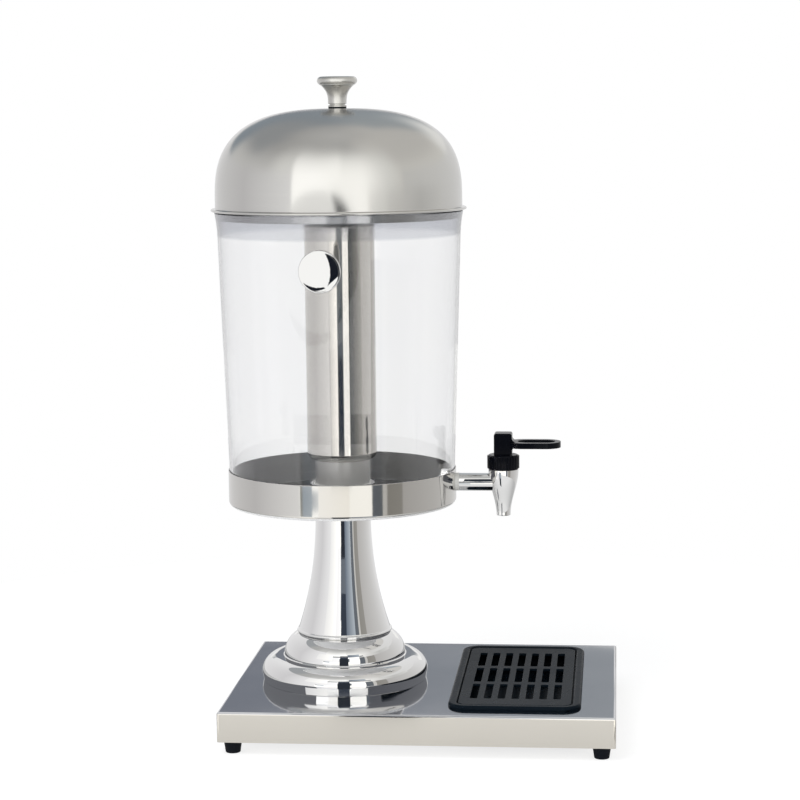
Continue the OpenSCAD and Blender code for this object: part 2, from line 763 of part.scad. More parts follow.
// Spout outline: a smooth run from the body's radius to the spout's
module spout_half() {
    polygon(concat([[0, 0]],
        [for (i = [0:14]) [spout_r + (body_r - spout_r) * (1 - cos(180 * i / 14)) / 2, body_h * i / 14]],
        [[0, body_h]]));
}

// One casting: spout, side shank and the neck that the collar screws on
module tap_body() {
    neck_r = (bonnet_r + chamber_r) / 2 - 0.6;
    color("silver") difference() {
        union() {
            at_tap(body_z - body_h) rotate_extrude() spout_half();
            at_tap(body_z - fit) cylinder(r = neck_r, h = chamber_top_z - body_z);
            along_x(shank_z) translate([0, 0, shoulder_x])
                cylinder(r = shank_r, h = tap_reach - shoulder_x);
            along_x(shank_z) translate([0, 0, shank_end])
                cylinder(r = shank_thread_r, h = tap_reach - shank_end);
        }
        at_tap(seat_z) cylinder(r = chamber_r, h = chamber_top_z - seat_z + cut);
        at_tap(body_z - body_h - cut) cylinder(r = outlet_r, h = body_h);
        along_x(shank_z) translate([0, 0, shank_end - cut])
            cylinder(r = shank_bore_r, h = tap_reach - shank_end + cut);
    }
}

module outer_gasket() {
    color("whitesmoke") difference() {
        along_x(shank_z) cylinder(r = shank_r, h = shoulder_x);
        along_x(shank_z) cylinder(r = shank_thread_r + fit, h = shoulder_x + cut);
        at_axis(pan_z - cut) cylinder(r = pan_r, h = pan_h + 2 * cut, $fn = 720);
    }
}

module inner_gasket() {
    color("whitesmoke") intersection() {
        along_x(shank_z) translate([0, 0, nut_face]) difference() {
            cylinder(r = gasket_r, h = inner_gasket_t + tank_wall);
            translate([0, 0, -cut]) cylinder(r = shank_thread_r + fit, h = 2 * gasket_r);
        }
        tank_core(tank_wall + screw_play);
    }
}

module shank_nut() {
    color("silver") along_x(shank_z) translate([0, 0, nut_face - shank_nut_t]) rotate(30)
        hex_nut(shank_nut_af, shank_nut_t, shank_thread_r + fit);
}

// Fluted collar that closes the chamber and guides the stem
module tap_bonnet() {
    neck_r = (bonnet_r + chamber_r) / 2 - 0.6;
    color("dimgray") at_tap(body_z) difference() {
        rotate_extrude() difference() {
            polygon([[0, 0], [bonnet_r - 0.8, 0], [bonnet_r, 0.8], [bonnet_r, bonnet_h - 1],
                     [bonnet_r - 1, bonnet_h], [0, bonnet_h]]);
            square([neck_r + fit, bonnet_h - bonnet_top_t]);
            square([stem_r + fit, bonnet_h + cut]);
        }
        for (i = [0:flute_count - 1]) rotate(360 * i / flute_count)
            translate([bonnet_r + 0.3, 0, -cut]) cylinder(r = 0.75, h = bonnet_h + 2 * cut, $fn = 16);
    }
}

// Rod with a spring flange and a tongue for the lever's pin, milled out of the rod's end
module tap_stem() {
    tongue_z = bonnet_z - cam_r * lever_turn * PI / 180 - screw_play;
    edge = sqrt(stem_r * stem_r - tongue * tongue) - fit;
    color("silver") at_tap(0) difference() {
        union() {
            translate([0, 0, seat_z + 1.6]) cylinder(r = stem_r, h = tongue_z - seat_z - 1.6);
            translate([0, 0, flange_z]) cylinder(r = chamber_r - 1.5, h = flange_t);
            translate([0, 0, tongue_z - cut]) linear_extrude(pivot_z - tongue_z + cut)
                polygon([[tongue, -edge], [tongue, edge], [edge, tongue], [-edge, tongue],
                         [-tongue, edge], [-tongue, -edge], [-edge, -tongue], [edge, -tongue]]);
            translate([0, tongue, pivot_z]) rotate([90, 0, 0]) cylinder(r = tongue, h = 2 * tongue);
        }
        translate([0, stem_r, pivot_z]) rotate([90, 0, 0]) cylinder(r = pin_r + fit, h = 2 * stem_r);
    }
}

module seat_cup() {
    r = chamber_r - 2;
    color("whitesmoke") at_tap(seat_z + 0.1) rotate_extrude() difference() {
        polygon([[0, 0.6], [outlet_r - 0.6, 0.6], [outlet_r, 0], [r - 0.8, 0], [r, 0.8],
                 [r, flange_z - seat_z - 0.1], [0, flange_z - seat_z - 0.1]]);
        translate([0, 1.5]) square([stem_r, flange_z - seat_z]);
    }
}

// Coil spring between the stem's flange and the collar: a tube swept along a helix
module tap_spring() {
    rings = 8 * spring_turns;
    sides = 6;
    coil_r = (stem_r + chamber_r) / 2 - 0.2;
    low = flange_z + flange_t + wire_r + fit;
    rise = chamber_top_z - wire_r - fit - low;
    points = [for (i = [0:rings], j = [0:sides - 1])
        let (a = 45 * i, b = 360 * j / sides, r = coil_r + wire_r * cos(b))
        [r * cos(a), r * sin(a), low + rise * i / rings + wire_r * sin(b)]];
    sleeve = [for (i = [0:rings - 1], j = [0:sides - 1], k = [0, 1])
        let (p = i * sides + j, q = i * sides + (j + 1) % sides)
        k == 0 ? [p, p + sides, q] : [q, p + sides, q + sides]];
    ends = [for (j = [1:sides - 2], k = [0, 1])
        k == 0 ? [0, j, j + 1] : [rings * sides, rings * sides + j + 1, rings * sides + j]];
    color("gray") at_tap(0) polyhedron(points, concat(sleeve, ends));
}

// Side outline of the lever's post about its pin, with the involute heel under its front
module post_side() {
    top = bonnet_z + post_h - pivot_z;
    round_r = 2;
    polygon(concat(
        [[-post_back, -cam_rest]], [for (a = [0:lever_turn / 10:lever_turn]) heel(a)],
        arc([heel_end.x - round_r, top - round_r], round_r, 0, 90, 5),
        arc([round_r - post_back, top - round_r], round_r, 90, 180, 5)));
}

// Stadium from x = a to x = b
module stadium(a, b, r) {
    translate([a + r, -r]) square([b - a - 2 * r, 2 * r]);
    for (x = [a + r, b - r]) translate([x, 0]) circle(r);
}

// Fillets where the loop leaves the post: one above it, one below
module loop_fillets() {
    low = bonnet_z + loop_rise - pivot_z;
    for (f = [[low + loop_t, 4, 1], [low, 3, -1]])
        translate([heel_end.x - fit, f[0]]) difference() {
            translate([0, f[2] > 0 ? 0 : -f[1]]) square([f[1], f[1]]);
            translate([f[1], f[2] * f[1]]) circle(f[1]);
        }
}

module tap_lever() {
    loop_r = loop_w / 2;
    slot = tongue + fit * 3;
    color("dimgray") at_tap(pivot_z) difference() {
        union() {
            translate([0, post_w / 2, 0]) rotate([90, 0, 0]) linear_extrude(post_w) post_side();
            translate([0, post_w / 2, 0]) rotate([90, 0, 0]) linear_extrude(post_w) loop_fillets();
            translate([0, 0, bonnet_z + loop_rise - pivot_z]) linear_extrude(loop_t) difference() {
                stadium(heel_end.x - 4, lever_l, loop_r);
                stadium(heel_end.x + loop_bar, lever_l - loop_bar, loop_r - loop_bar);
            }
        }
        translate([-tongue - 0.5, -slot, -cam_rest - cut])
            cube([tongue + heel_end.x - 0.8, 2 * slot, cam_rest + cut + tongue + 0.5]);
        translate([0, post_w, 0]) rotate([90, 0, 0])
            cylinder(r = pin_r + fit / 5, h = 1.5 * post_w - pin_skin);
    }
}

module lever_pin() {
    color("silver") at_tap(pivot_z) translate([0, post_w / 2, 0]) rotate([90, 0, 0])
        cylinder(r = pin_r, h = post_w - pin_skin - fit);
}

base_shell();
rubber_feet();
foot_screws();
foot_nuts();
drip_tray();
drip_grille();
pedestal_foot();
pedestal_column();
tie_rod();
rod_washers();
rod_nut();
pan();
tank_pad();
tank();
tank_bottom();
tube_socket();
tank_badge();
badge_pad();
ice_tube();
tube_seal();
lid_dome();
lid_skirt();
lid_knob();
knob_washer();
knob_screw();
tap_body();
outer_gasket();
inner_gasket();
shank_nut();
tap_bonnet();
tap_stem();
seat_cup();
tap_spring();
tap_lever();
lever_pin();
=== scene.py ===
# %% [markdown]
# # A juice dispenser, dressed in Blender
# The solids of the dispenser come from CAD, already in place and in metres. This lesson gives them their
# looks: bright turned metal, a clear tank, black plastic, and the studio that the metal shows. Turned pieces
# are turned again here with more faces, because a mirror shows every facet. Sizes are in millimetres until
# a mesh is made.

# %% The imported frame
import math
import bmesh
import bpy
from mathutils import Matrix, Vector


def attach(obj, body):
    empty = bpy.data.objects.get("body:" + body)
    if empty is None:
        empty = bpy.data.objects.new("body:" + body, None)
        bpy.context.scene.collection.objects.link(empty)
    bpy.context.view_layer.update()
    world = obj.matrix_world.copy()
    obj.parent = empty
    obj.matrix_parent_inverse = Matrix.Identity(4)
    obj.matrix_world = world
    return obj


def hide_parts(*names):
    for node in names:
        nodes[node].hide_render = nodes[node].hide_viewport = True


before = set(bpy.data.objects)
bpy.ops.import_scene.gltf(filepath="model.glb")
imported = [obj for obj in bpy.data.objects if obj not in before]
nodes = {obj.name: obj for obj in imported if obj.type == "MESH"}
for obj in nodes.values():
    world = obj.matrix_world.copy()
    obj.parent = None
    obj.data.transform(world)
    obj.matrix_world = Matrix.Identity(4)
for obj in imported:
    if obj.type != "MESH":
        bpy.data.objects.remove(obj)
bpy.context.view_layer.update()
scene = bpy.context.scene
AXIS_X = -67.75  # the axis of tank and pedestal, in millimetres; the tap points to +X, the front is -Y
scene.view_settings.view_transform = "Standard"

# %% [markdown]
# ## The camera
# The picture was taken from a little above the lid, about two metres away and slightly to the right. A camera
# can be aimed by hand, but here its place, angles and focal length were fitted to the edges of the object,
# so they are written down as numbers and turned into one matrix.

# %% Camera
EYE = Vector((0.18394, -2.03126, 0.55958))
YAW, PITCH, ROLL = 0.0970, 0.1273, -0.0107
SENSOR, FOCAL_LENGTH = 36, 100.97

lens = bpy.data.cameras.new("camera")
lens.sensor_width = SENSOR
lens.lens = FOCAL_LENGTH
camera = bpy.data.objects.new("camera", lens)
camera.matrix_world = (Matrix.Translation(EYE) @ Matrix.Rotation(YAW, 4, "Z")
                       @ Matrix.Rotation(math.pi / 2 - PITCH, 4, "X") @ Matrix.Rotation(ROLL, 4, "Z"))
scene.collection.objects.link(camera)
scene.camera = camera
print("camera at", tuple(round(v, 3) for v in EYE), "lens", lens.lens, "mm")

# %% [markdown]
# ## Wiring nodes
# Every finish and the studio are made of shader nodes. Adding a node and filling its inputs takes many
# lines, so `put` does both: a number is set on the socket, and another node's output is linked. The short
# helpers below it stand for the nodes that come up most. The last one turns a drawn shape into an object.

# %% Helpers for nodes and meshes
def put(tree, kind, feeds=None, **settings):
    made = tree.nodes.new(kind)
    for key, value in settings.items():
        setattr(made, key, value)
    for key, value in (feeds or {}).items():
        if isinstance(value, bpy.types.NodeSocket):
            tree.links.new(value, made.inputs[key])
        else:
            made.inputs[key].default_value = value
    return made


def result(*node, **settings):
    return put(*node, **settings).outputs[0]


def sums(tree, operation, a, b=0.0):
    return result(tree, "ShaderNodeMath", {0: a, 1: b}, operation=operation)


def mixed_colour(tree, share, low, high):
    return put(tree, "ShaderNodeMix", {0: share, 6: low, 7: high}, data_type="RGBA").outputs[2]


def mixed_value(tree, share, low, high):
    return result(tree, "ShaderNodeMix", {0: share, 2: low, 3: high}, data_type="FLOAT")


def ramp(tree, value, start, end, low=0.0, high=1.0, **settings):
    return result(tree, "ShaderNodeMapRange", {0: value, 1: start, 2: end, 3: low, 4: high}, **settings)


def noise(tree, place, scale, detail):
    return put(tree, "ShaderNodeTexNoise", {"Vector": place, "Scale": scale, "Detail": detail}).outputs["Fac"]


def object_place(tree):
    return put(tree, "ShaderNodeTexCoord").outputs["Object"]


def axes(tree, vector):
    return put(tree, "ShaderNodeSeparateXYZ", {0: vector}).outputs


def new_material(name):
    made = bpy.data.materials.new(name)
    made.use_nodes = True
    made.node_tree.nodes.clear()
    return made, made.node_tree


def dress(tree, kind, feeds):
    put(tree, "ShaderNodeOutputMaterial", {"Surface": result(tree, kind, feeds)})


def add_inputs(tree, kind, *names):
    for name in names:
        tree.interface.new_socket(name, in_out="INPUT", socket_type="NodeSocket" + kind)


def spread(start, end, steps):
    return [start + (end - start) * i / steps for i in range(steps + 1)]


def make_object(name, shape):
    mesh = bpy.data.meshes.new(name)
    shape.to_mesh(mesh)
    shape.free()
    made = bpy.data.objects.new(name, mesh)
    scene.collection.objects.link(made)
    return made


print("helpers ready")

# %% [markdown]
# ## The studio
# Chrome has no look of its own: it shows the room. The room is a sphere of soft light panels and dark gaps,
# given by azimuth (0 towards the camera, plus to the right) and elevation. It could be built from many lamps
# and cards, but a world shader needs no geometry and is free of noise. One node group makes one soft-edged
# panel, and the panels are laid over each other like paper.

# %% A soft-edged panel
def make_panel_group():
    group = bpy.data.node_groups.new("studio_panel", "ShaderNodeTree")
    add_inputs(group, "Color", "Under", "Panel")
    add_inputs(group, "Float", "Azimuth", "Elevation", "From", "To", "Low", "High", "Side blur", "End blur")
    group.interface.new_socket("Light", in_out="OUTPUT", socket_type="NodeSocketColor")
    given = group.nodes.new("NodeGroupInput").outputs
    mask = 1.0
    sides = (("Azimuth", "From", "Side blur", 1), ("Azimuth", "To", "Side blur", -1),
             ("Elevation", "Low", "End blur", 1), ("Elevation", "High", "End blur", -1))
    for value, edge, blur, way in sides:
        reach = sums(group, "MULTIPLY", given[blur], way)
        outer = sums(group, "SUBTRACT", given[edge], reach)
        inner = sums(group, "ADD", given[edge], reach)
        inside = ramp(group, given[value], outer, inner, interpolation_type="SMOOTHSTEP")
        mask = sums(group, "MULTIPLY", inside, mask)
    put(group, "NodeGroupOutput", {"Light": mixed_colour(group, mask, given["Under"], given["Panel"])})
    return group


panel_group = make_panel_group()
print("panel group with", len(panel_group.nodes), "nodes")

# %% [markdown]
# The direction of a ray gives its azimuth and elevation. The walls come first, as a ramp from floor to
# ceiling; then the right wall, the white sweep behind the object with the darker room above it, and then
# the wide bank of light round the camera.

# %% Studio world
# height from straight down (0) to straight up (1), light
WALL_STOPS = [(0.0, 0.72), (0.50, 0.68), (0.611, 0.66), (0.767, 0.42), (0.861, 0.44), (1.0, 0.57)]
PANELS = [
    # azimuth from, to, elevation from, to, side blur, end blur, all in degrees; light; counted from behind
    (30, 170, 22, 76, 18, 10, (0.61, 0.60, 0.58), False),
    (40, 142, -60, 28, 12, 10, (0.73, 0.72, 0.69), False),
    (-35, 48, -60, 11, 5, 5, (1.02, 1.02, 1.02), True),
    (-28, 42, 16, 62, 10, 3, (0.27, 0.31, 0.35), True),
    (-28, 0, 16, 62, 10, 3, (0.36, 0.40, 0.43), True),
    (-9, 9, 12.5, 17.5, 1.5, 0.7, (0.19, 0.205, 0.24), True),
    (-14, 0, 12.5, 17.5, 5, 0.7, (0.275, 0.295, 0.32), True),
    (-165, -96, 34, 62, 12, 8, (0.34, 0.355, 0.37), False),
    (138, 168, -20, 32, 8, 10, (0.90, 0.90, 0.89), False),
    (-66, 58, -60, 44, 12, 26, (0.88, 0.88, 0.86), False),
    (-44, 4, -60, 36, 1.5, 26, (1.44, 1.44, 1.42), False),
    (-8, 36, -60, 36, 16, 26, (1.32, 1.32, 1.29), False),
]


def make_studio():
    world = bpy.data.worlds.new("studio")
    world.use_nodes = True
    tree = world.node_tree
    tree.nodes.clear()
    way = put(tree, "ShaderNodeTexCoord").outputs["Generated"]
    turned = result(tree, "ShaderNodeVectorRotate", {"Vector": way, "Axis": (0, 0, 1), "Angle": -YAW},
                    rotation_type="AXIS_ANGLE")
    x, y, z = axes(tree, turned)
    minus_x, minus_y = [sums(tree, "MULTIPLY", part, -1.0) for part in (x, y)]
    turns = (sums(tree, "ARCTAN2", x, minus_y), sums(tree, "ARCTAN2", minus_x, y), sums(tree, "ARCSINE", z))
    front, behind, rise = [sums(tree, "MULTIPLY", turn, 180 / math.pi) for turn in turns]
    walls = put(tree, "ShaderNodeValToRGB", {0: ramp(tree, rise, -90.0, 90.0)})
    stones = walls.color_ramp.elements
    while len(stones) < len(WALL_STOPS):
        stones.new(0.5)
    for stone, (place, level) in zip(stones, WALL_STOPS):
        stone.position = place
        stone.color = (level, level, level * 0.99, 1)
    light = walls.outputs[0]
    for start, end, low, high, side, tip, tint, back in PANELS:
        light = result(tree, "ShaderNodeGroup", {
            "Under": light, "Panel": (*tint, 1), "Azimuth": behind if back else front, "Elevation": rise,
            "From": start, "To": end, "Low": low, "High": high, "Side blur": side, "End blur": tip},
            node_tree=panel_group)
    path = put(tree, "ShaderNodeLightPath").outputs
    bounced = sums(tree, "ADD", path["Glossy Depth"], path["Diffuse Depth"])
    straight = sums(tree, "MULTIPLY", path["Is Transmission Ray"], sums(tree, "LESS_THAN", bounced, 0.5))
    backdrop = sums(tree, "MAXIMUM", path["Is Camera Ray"], straight)
    shown = mixed_colour(tree, backdrop, light, (1, 1, 1, 1))
    glow = result(tree, "ShaderNodeBackground", {"Color": shown, "Strength": 1.0})
    put(tree, "ShaderNodeOutputWorld", {"Surface": glow})
    return world


scene.world = make_studio()
print("studio with", len(PANELS), "panels")

# %% [markdown]
# The metal also shows boards that stand close round the object: pale walls at the sides, white boards in
# front, the dark gaps between them, and a gap at the back that the base mirrors. They are too near to belong
# to the world, because a mirror high up sees other parts of them than a low one. So each is a strip bent
# round the object, whose light runs from one end to the other. A light path node shows it in mirrors only:
# the camera, the shadows and the plain view through the tank pass it. Some strips are for what stands outside
# the tank or inside it only, and mirrors in mirrors see darker sides, as in a room whose light falls off.

# %% Boards
BOARDS = [
    # name, distance from the axis, lower and upper edge in metres, marks of azimuth in degrees and light
    ("wall_left", 0.70, 0.0, 0.72, (-158, 0.80, 0.80, 0.81), (-90, 0.64, 0.635, 0.65),
     (-39, 0.91, 0.91, 0.92)),
    ("board_left", 0.70, 0.14, 0.42, (-39, 0.93, 0.93, 0.94), (-9, 1.08, 1.08, 1.09)),
    ("gap_left_edge", 0.70, 0.09, 0.14, (-38.5, 0.30, 0.31, 0.29), (-36, 0.31, 0.32, 0.31)),
    ("gap_left", 0.70, 0.09, 0.14, (-36, 0.37, 0.43, 0.50), (-27, 0.47, 0.53, 0.59)),
    ("gap_left_tip", 0.70, 0.106, 0.130, (-27, 0.50, 0.55, 0.60), (-21, 0.85, 0.87, 0.90)),
    ("front_low", 0.70, 0.0, 0.14, (-21, 1.20, 1.19, 1.16), (7.5, 1.17, 1.14, 1.07)),
    ("gap_front", 0.70, 0.14, 0.32, (-9, 0.13, 0.15, 0.18), (9.5, 0.16, 0.18, 0.21)),
    ("gap_low", 0.30, 0.0, 0.160, (-8, 0.025, 0.03, 0.04), (7, 0.025, 0.03, 0.04)),
    ("gap_mid", 0.40, 0.195, 0.30, (-8, 0.04, 0.05, 0.07), (7, 0.04, 0.05, 0.07)),
    ("board_right", 0.70, 0.14, 0.42, (9.5, 1.24, 1.24, 1.23), (28.5, 1.30, 1.29, 1.26)),
    ("board_right_low", 0.70, 0.0, 0.14, (7.5, 1.26, 1.25, 1.20), (28.5, 1.28, 1.27, 1.22)),
    ("gap_right", 0.70, 0.0, 0.36, (28.5, 0.13, 0.145, 0.17), (38.5, 0.14, 0.155, 0.17)),
    ("edge_right", 0.70, 0.0, 0.36, (38.5, 0.60, 0.59, 0.57), (43, 0.58, 0.57, 0.55)),
    ("grey_right", 0.70, 0.0, 0.36, (43, 0.28, 0.27, 0.25), (59, 0.31, 0.30, 0.28)),
    ("wall_right", 0.70, 0.0, 0.43, (59, 0.47, 0.46, 0.45), (100, 0.58, 0.575, 0.57),
     (148, 0.76, 0.76, 0.765)),
    ("wall_right_high", 0.70, 0.43, 0.72, (59, 0.67, 0.67, 0.66), (148, 0.76, 0.76, 0.765)),
    ("back_low", 0.70, 0.0, 0.165, (148, 0.76, 0.76, 0.765), (202, 0.80, 0.80, 0.81)),
    ("back_high", 0.70, 0.275, 0.72, (148, 0.76, 0.76, 0.765), (202, 0.80, 0.80, 0.81)),
]
OUTSIDE = [
    ("table_edge", 0.35, 0.22, 0.25, (-40, 0.17, 0.18, 0.20), (36, 0.15, 0.16, 0.18)),
    ("dim_right", 0.20, 0.146, 0.186, (6, 0.15, 0.18, 0.23), (27, 0.44, 0.49, 0.54)),
    ("plain_left", 0.20, 0.10, 0.182, (-48, 0.90, 0.90, 0.90), (-20, 1.18, 1.17, 1.14)),
    ("lid_front", 0.69, 0.32, 0.44, (-9, 1.90, 1.90, 1.86), (9.5, 1.80, 1.80, 1.77)),
    ("lid_right", 0.69, 0.36, 0.52, (26, 1.10, 1.09, 1.06), (46, 0.76, 0.755, 0.74),
     (76, 0.54, 0.54, 0.53), (104, 0.69, 0.69, 0.68)),
]
INSIDE = [
    ("tube_left", 0.69, 0.14, 0.44, (-32, 1.10, 1.09, 1.07), (-9, 1.66, 1.65, 1.61)),
    ("tube_front", 0.69, 0.31, 0.44, (-9, 0.10, 0.12, 0.14), (9.5, 0.13, 0.15, 0.17)),
    ("tube_right", 0.69, 0.14, 0.44, (9.5, 1.50, 1.50, 1.48), (28.5, 1.58, 1.57, 1.54)),
    ("tube_gap", 0.69, 0.10, 0.46, (28.5, 0.01, 0.015, 0.02), (44, 0.05, 0.055, 0.055)),
    ("tube_grey", 0.69, 0.10, 0.46, (44, 0.08, 0.08, 0.075), (72, 0.34, 0.335, 0.315)),
]
AGAIN = [
    ("again_left", 0.68, 0.0, 0.72, (-158, 0.17, 0.175, 0.19), (-37, 0.15, 0.155, 0.17)),
    ("again_right", 0.68, 0.0, 0.72, (33, 0.11, 0.115, 0.13), (158, 0.17, 0.175, 0.19)),
]


def make_card(name, bounce=1, passed_tank=None):
    card, tree = new_material(name)
    path = put(tree, "ShaderNodeLightPath").outputs
    shown = sums(tree, "GREATER_THAN", path["Glossy Depth"], bounce - 0.5)
    if passed_tank is not None:
        side = "GREATER_THAN" if passed_tank else "LESS_THAN"
        shown = sums(tree, "MULTIPLY", shown, sums(tree, side, path["Transmission Depth"], 0.5))
    clear = result(tree, "ShaderNodeBsdfTransparent")
    light = put(tree, "ShaderNodeAttribute", attribute_name="glow").outputs["Color"]
    glow = result(tree, "ShaderNodeEmission", {"Color": light, "Strength": 1.0})
    dress(tree, "ShaderNodeMixShader", {0: shown, 1: clear, 2: glow})
    return card


def hang(name, card, rows, closed=False):
    shape = bmesh.new()
    glow = shape.verts.layers.float_color.new("glow")
    corners = []
    for row in rows:
        corners.append([shape.verts.new(place) for place, light in row])
        for corner, (place, light) in zip(corners[-1], row):
            corner[glow] = (*light, 1)
    for one, two in zip(corners, corners[1:]):
        for k in range(0 if closed else 1, len(one)):
            shape.faces.new((one[k - 1], two[k - 1], two[k], one[k]))
    if closed:
        shape.faces.new(corners[0])
    board = make_object(name, shape)
    board.data.materials.append(card)
    board.visible_camera = board.visible_diffuse = board.visible_shadow = False


def make_board(card, name, reach, low, high, *marks):
    rows = []
    for (start, *light_from), (end, *light_to) in zip(marks, marks[1:]):
        shares = spread(0, 1, max(2, round((end - start) / 3)))
        for share in shares[1:] if rows else shares:
            turn = math.radians(start + (end - start) * share) + YAW
            x, y = AXIS_X / 1000 + reach * math.sin(turn), -reach * math.cos(turn)
            light = [a + (b - a) * share for a, b in zip(light_from, light_to)]
            rows.append([((x, y, z), light) for z in (low, high)])
    hang(name, card, rows)


outside_card = make_card("outside_card", passed_tank=False)
for card, rows in ((make_card("board_card"), BOARDS), (outside_card, OUTSIDE),
                   (make_card("inside_card", passed_tank=True), INSIDE),
                   (make_card("again_card", bounce=2, passed_tank=False), AGAIN)):
    for row in rows:
        make_board(card, *row)
print(len(BOARDS) + len(OUTSIDE) + len(INSIDE) + len(AGAIN), "boards")

# %% [markdown]
# One small black flag, a flat sheet, stands in front of the tap and draws the dark line along its shank. Like
# the strips for the outside, it shows only in mirrors that aren't seen through the tank.

# %% Flag for the tap
FLAG_SIDES, FLAG_Y, FLAG_ENDS = (0.040, 0.110), -0.075, (0.237, 0.284)
FLAG_LIGHT = (0.03, 0.035, 0.045)
flag_rows = [[((x, FLAG_Y, z), FLAG_LIGHT) for z in FLAG_ENDS] for x in FLAG_SIDES]
hang("shank_flag", outside_card, flag_rows)
print("flag for the tap's shank")

# %% [markdown]
# ## Floor and lamp
# The floor is a white paper sweep. It stays a lit, shadow-taking surface, and for what the camera, the metal
# and the clear plastic see, part of its light is its own, so that it meets the white background without an
# edge. Mirrors see it darker, and darker still towards the back, which keeps the tap's spout grey. One large
# soft lamp over the front left gives the shadow its direction.

# %% Floor and lamp
OWN_SHARE, OWN_LEVEL = 0.62, 1.24
MIRRORED_FRONT, MIRRORED_BACK = (-0.34, 0.80), (0.10, 0.34)  # depth in metres, light


def make_floor(radius=0.8, drop=0.0003):
    shape = bmesh.new()
    bmesh.ops.create_circle(shape, cap_ends=True, segments=96, radius=radius)
    bmesh.ops.translate(shape, verts=shape.verts, vec=(0, 0, -drop))
    floor = make_object("floor", shape)
    paper, tree = new_material("white_paper")
    floor.data.materials.append(paper)
    path = put(tree, "ShaderNodeLightPath").outputs
    seen = sums(tree, "MAXIMUM", sums(tree, "MAXIMUM", path["Is Camera Ray"], path["Is Glossy Ray"]),
                path["Is Transmission Ray"])
    lit = result(tree, "ShaderNodeBsdfDiffuse", {"Color": (0.86, 0.87, 0.885, 1)})
    depth = axes(tree, object_place(tree))[1]
    fall = ramp(tree, depth, MIRRORED_FRONT[0], MIRRORED_BACK[0], MIRRORED_FRONT[1], MIRRORED_BACK[1])
    mirrored = sums(tree, "GREATER_THAN", path["Glossy Depth"], 0.5)
    level = mixed_value(tree, mirrored, OWN_LEVEL, fall)
    own = result(tree, "ShaderNodeEmission", {"Color": (1, 1, 1, 1), "Strength": level})
    share = sums(tree, "MULTIPLY", seen, OWN_SHARE)
    dress(tree, "ShaderNodeMixShader", {0: share, 1: lit, 2: own})


def make_lamp(place=Vector((-0.9, -1.2, 2.1)), target=Vector((0, 0, 0.25)), size=1.4, power=26):
    bulb = bpy.data.lights.new("soft_lamp", "AREA")
    bulb.shape = "SQUARE"
    bulb.size = size
    bulb.energy = power
    lamp = bpy.data.objects.new("soft_lamp", bulb)
    aim = (target - place).to_track_quat("-Z", "Y")
    lamp.matrix_world = Matrix.Translation(place) @ aim.to_matrix().to_4x4()
    lamp.visible_glossy = False
    scene.collection.objects.link(lamp)


make_floor()
make_lamp()
print("floor and lamp in place")

# %% [markdown]
# ## Finishes
# A finish is one material. Each starts from a Principled shader, Object coordinates, a slow noise that
# shifts colour and gloss a little from place to place, and a fine noise that becomes a bump. What differs is
# the scale and direction of the noise and the constants on the shader. Some pieces have two zones, such as a
# polished outside and a matt inside; a height or a radius divides them. Where the two zones differ in colour,
# as on the pan, the tube and the base, that colour is painted light.

# %% Finish helper
NOISE_LOW, NOISE_HIGH = 0.3, 0.7  # between these lies nearly all of a noise


def zone(tree, place, kind, edge, blur):
    x, y, z = axes(tree, place)
    if kind == "height":
        return ramp(tree, z, edge, edge + blur)
    across = sums(tree, "SUBTRACT", x, AXIS_X / 1000)
    square = sums(tree, "ADD", sums(tree, "MULTIPLY", across, across), sums(tree, "MULTIPLY", y, y))
    return ramp(tree, sums(tree, "SQRT", square), edge, edge + blur)


# within describes an inner zone: the measure that divides it, its edge, the blur, colour and roughness, and
# the metallic value if that differs.
def finish(name, colour, gloss, drift, slow, fine, height, stretch=(1, 1, 1), within=None, **constants):
    made, tree = new_material(name)
    place = object_place(tree)
    broad = noise(tree, place, slow, 3.0)
    drawn = result(tree, "ShaderNodeMapping", {"Vector": place, "Scale": stretch})
    close = noise(tree, drawn, fine, 2.0)

    def varied(base):
        dark, pale = [tuple(min(c * k, 1) for c in base) + (1,) for k in (1 - drift, 1 + drift)]
        return mixed_colour(tree, broad, dark, pale)

    shade = varied(colour)
    rough = ramp(tree, broad, NOISE_LOW, NOISE_HIGH, *gloss)
    if within:
        kind, edge, blur, other_colour, other_gloss, *other_metal = within
        outer = zone(tree, place, kind, edge, blur)
        shade = mixed_colour(tree, outer, varied(other_colour), shade)
        rough = mixed_value(tree, outer, other_gloss, rough)
        if other_metal:
            constants["Metallic"] = mixed_value(tree, outer, other_metal[0], constants["Metallic"])
    bump = result(tree, "ShaderNodeBump", {"Height": close, "Strength": 1.0, "Distance": height})
    feeds = {"Base Color": shade, "Roughness": rough, "Normal": bump, **constants}
    dress(tree, "ShaderNodeBsdfPrincipled", feeds)
    print("finish", name, "roughness", gloss)
    return made
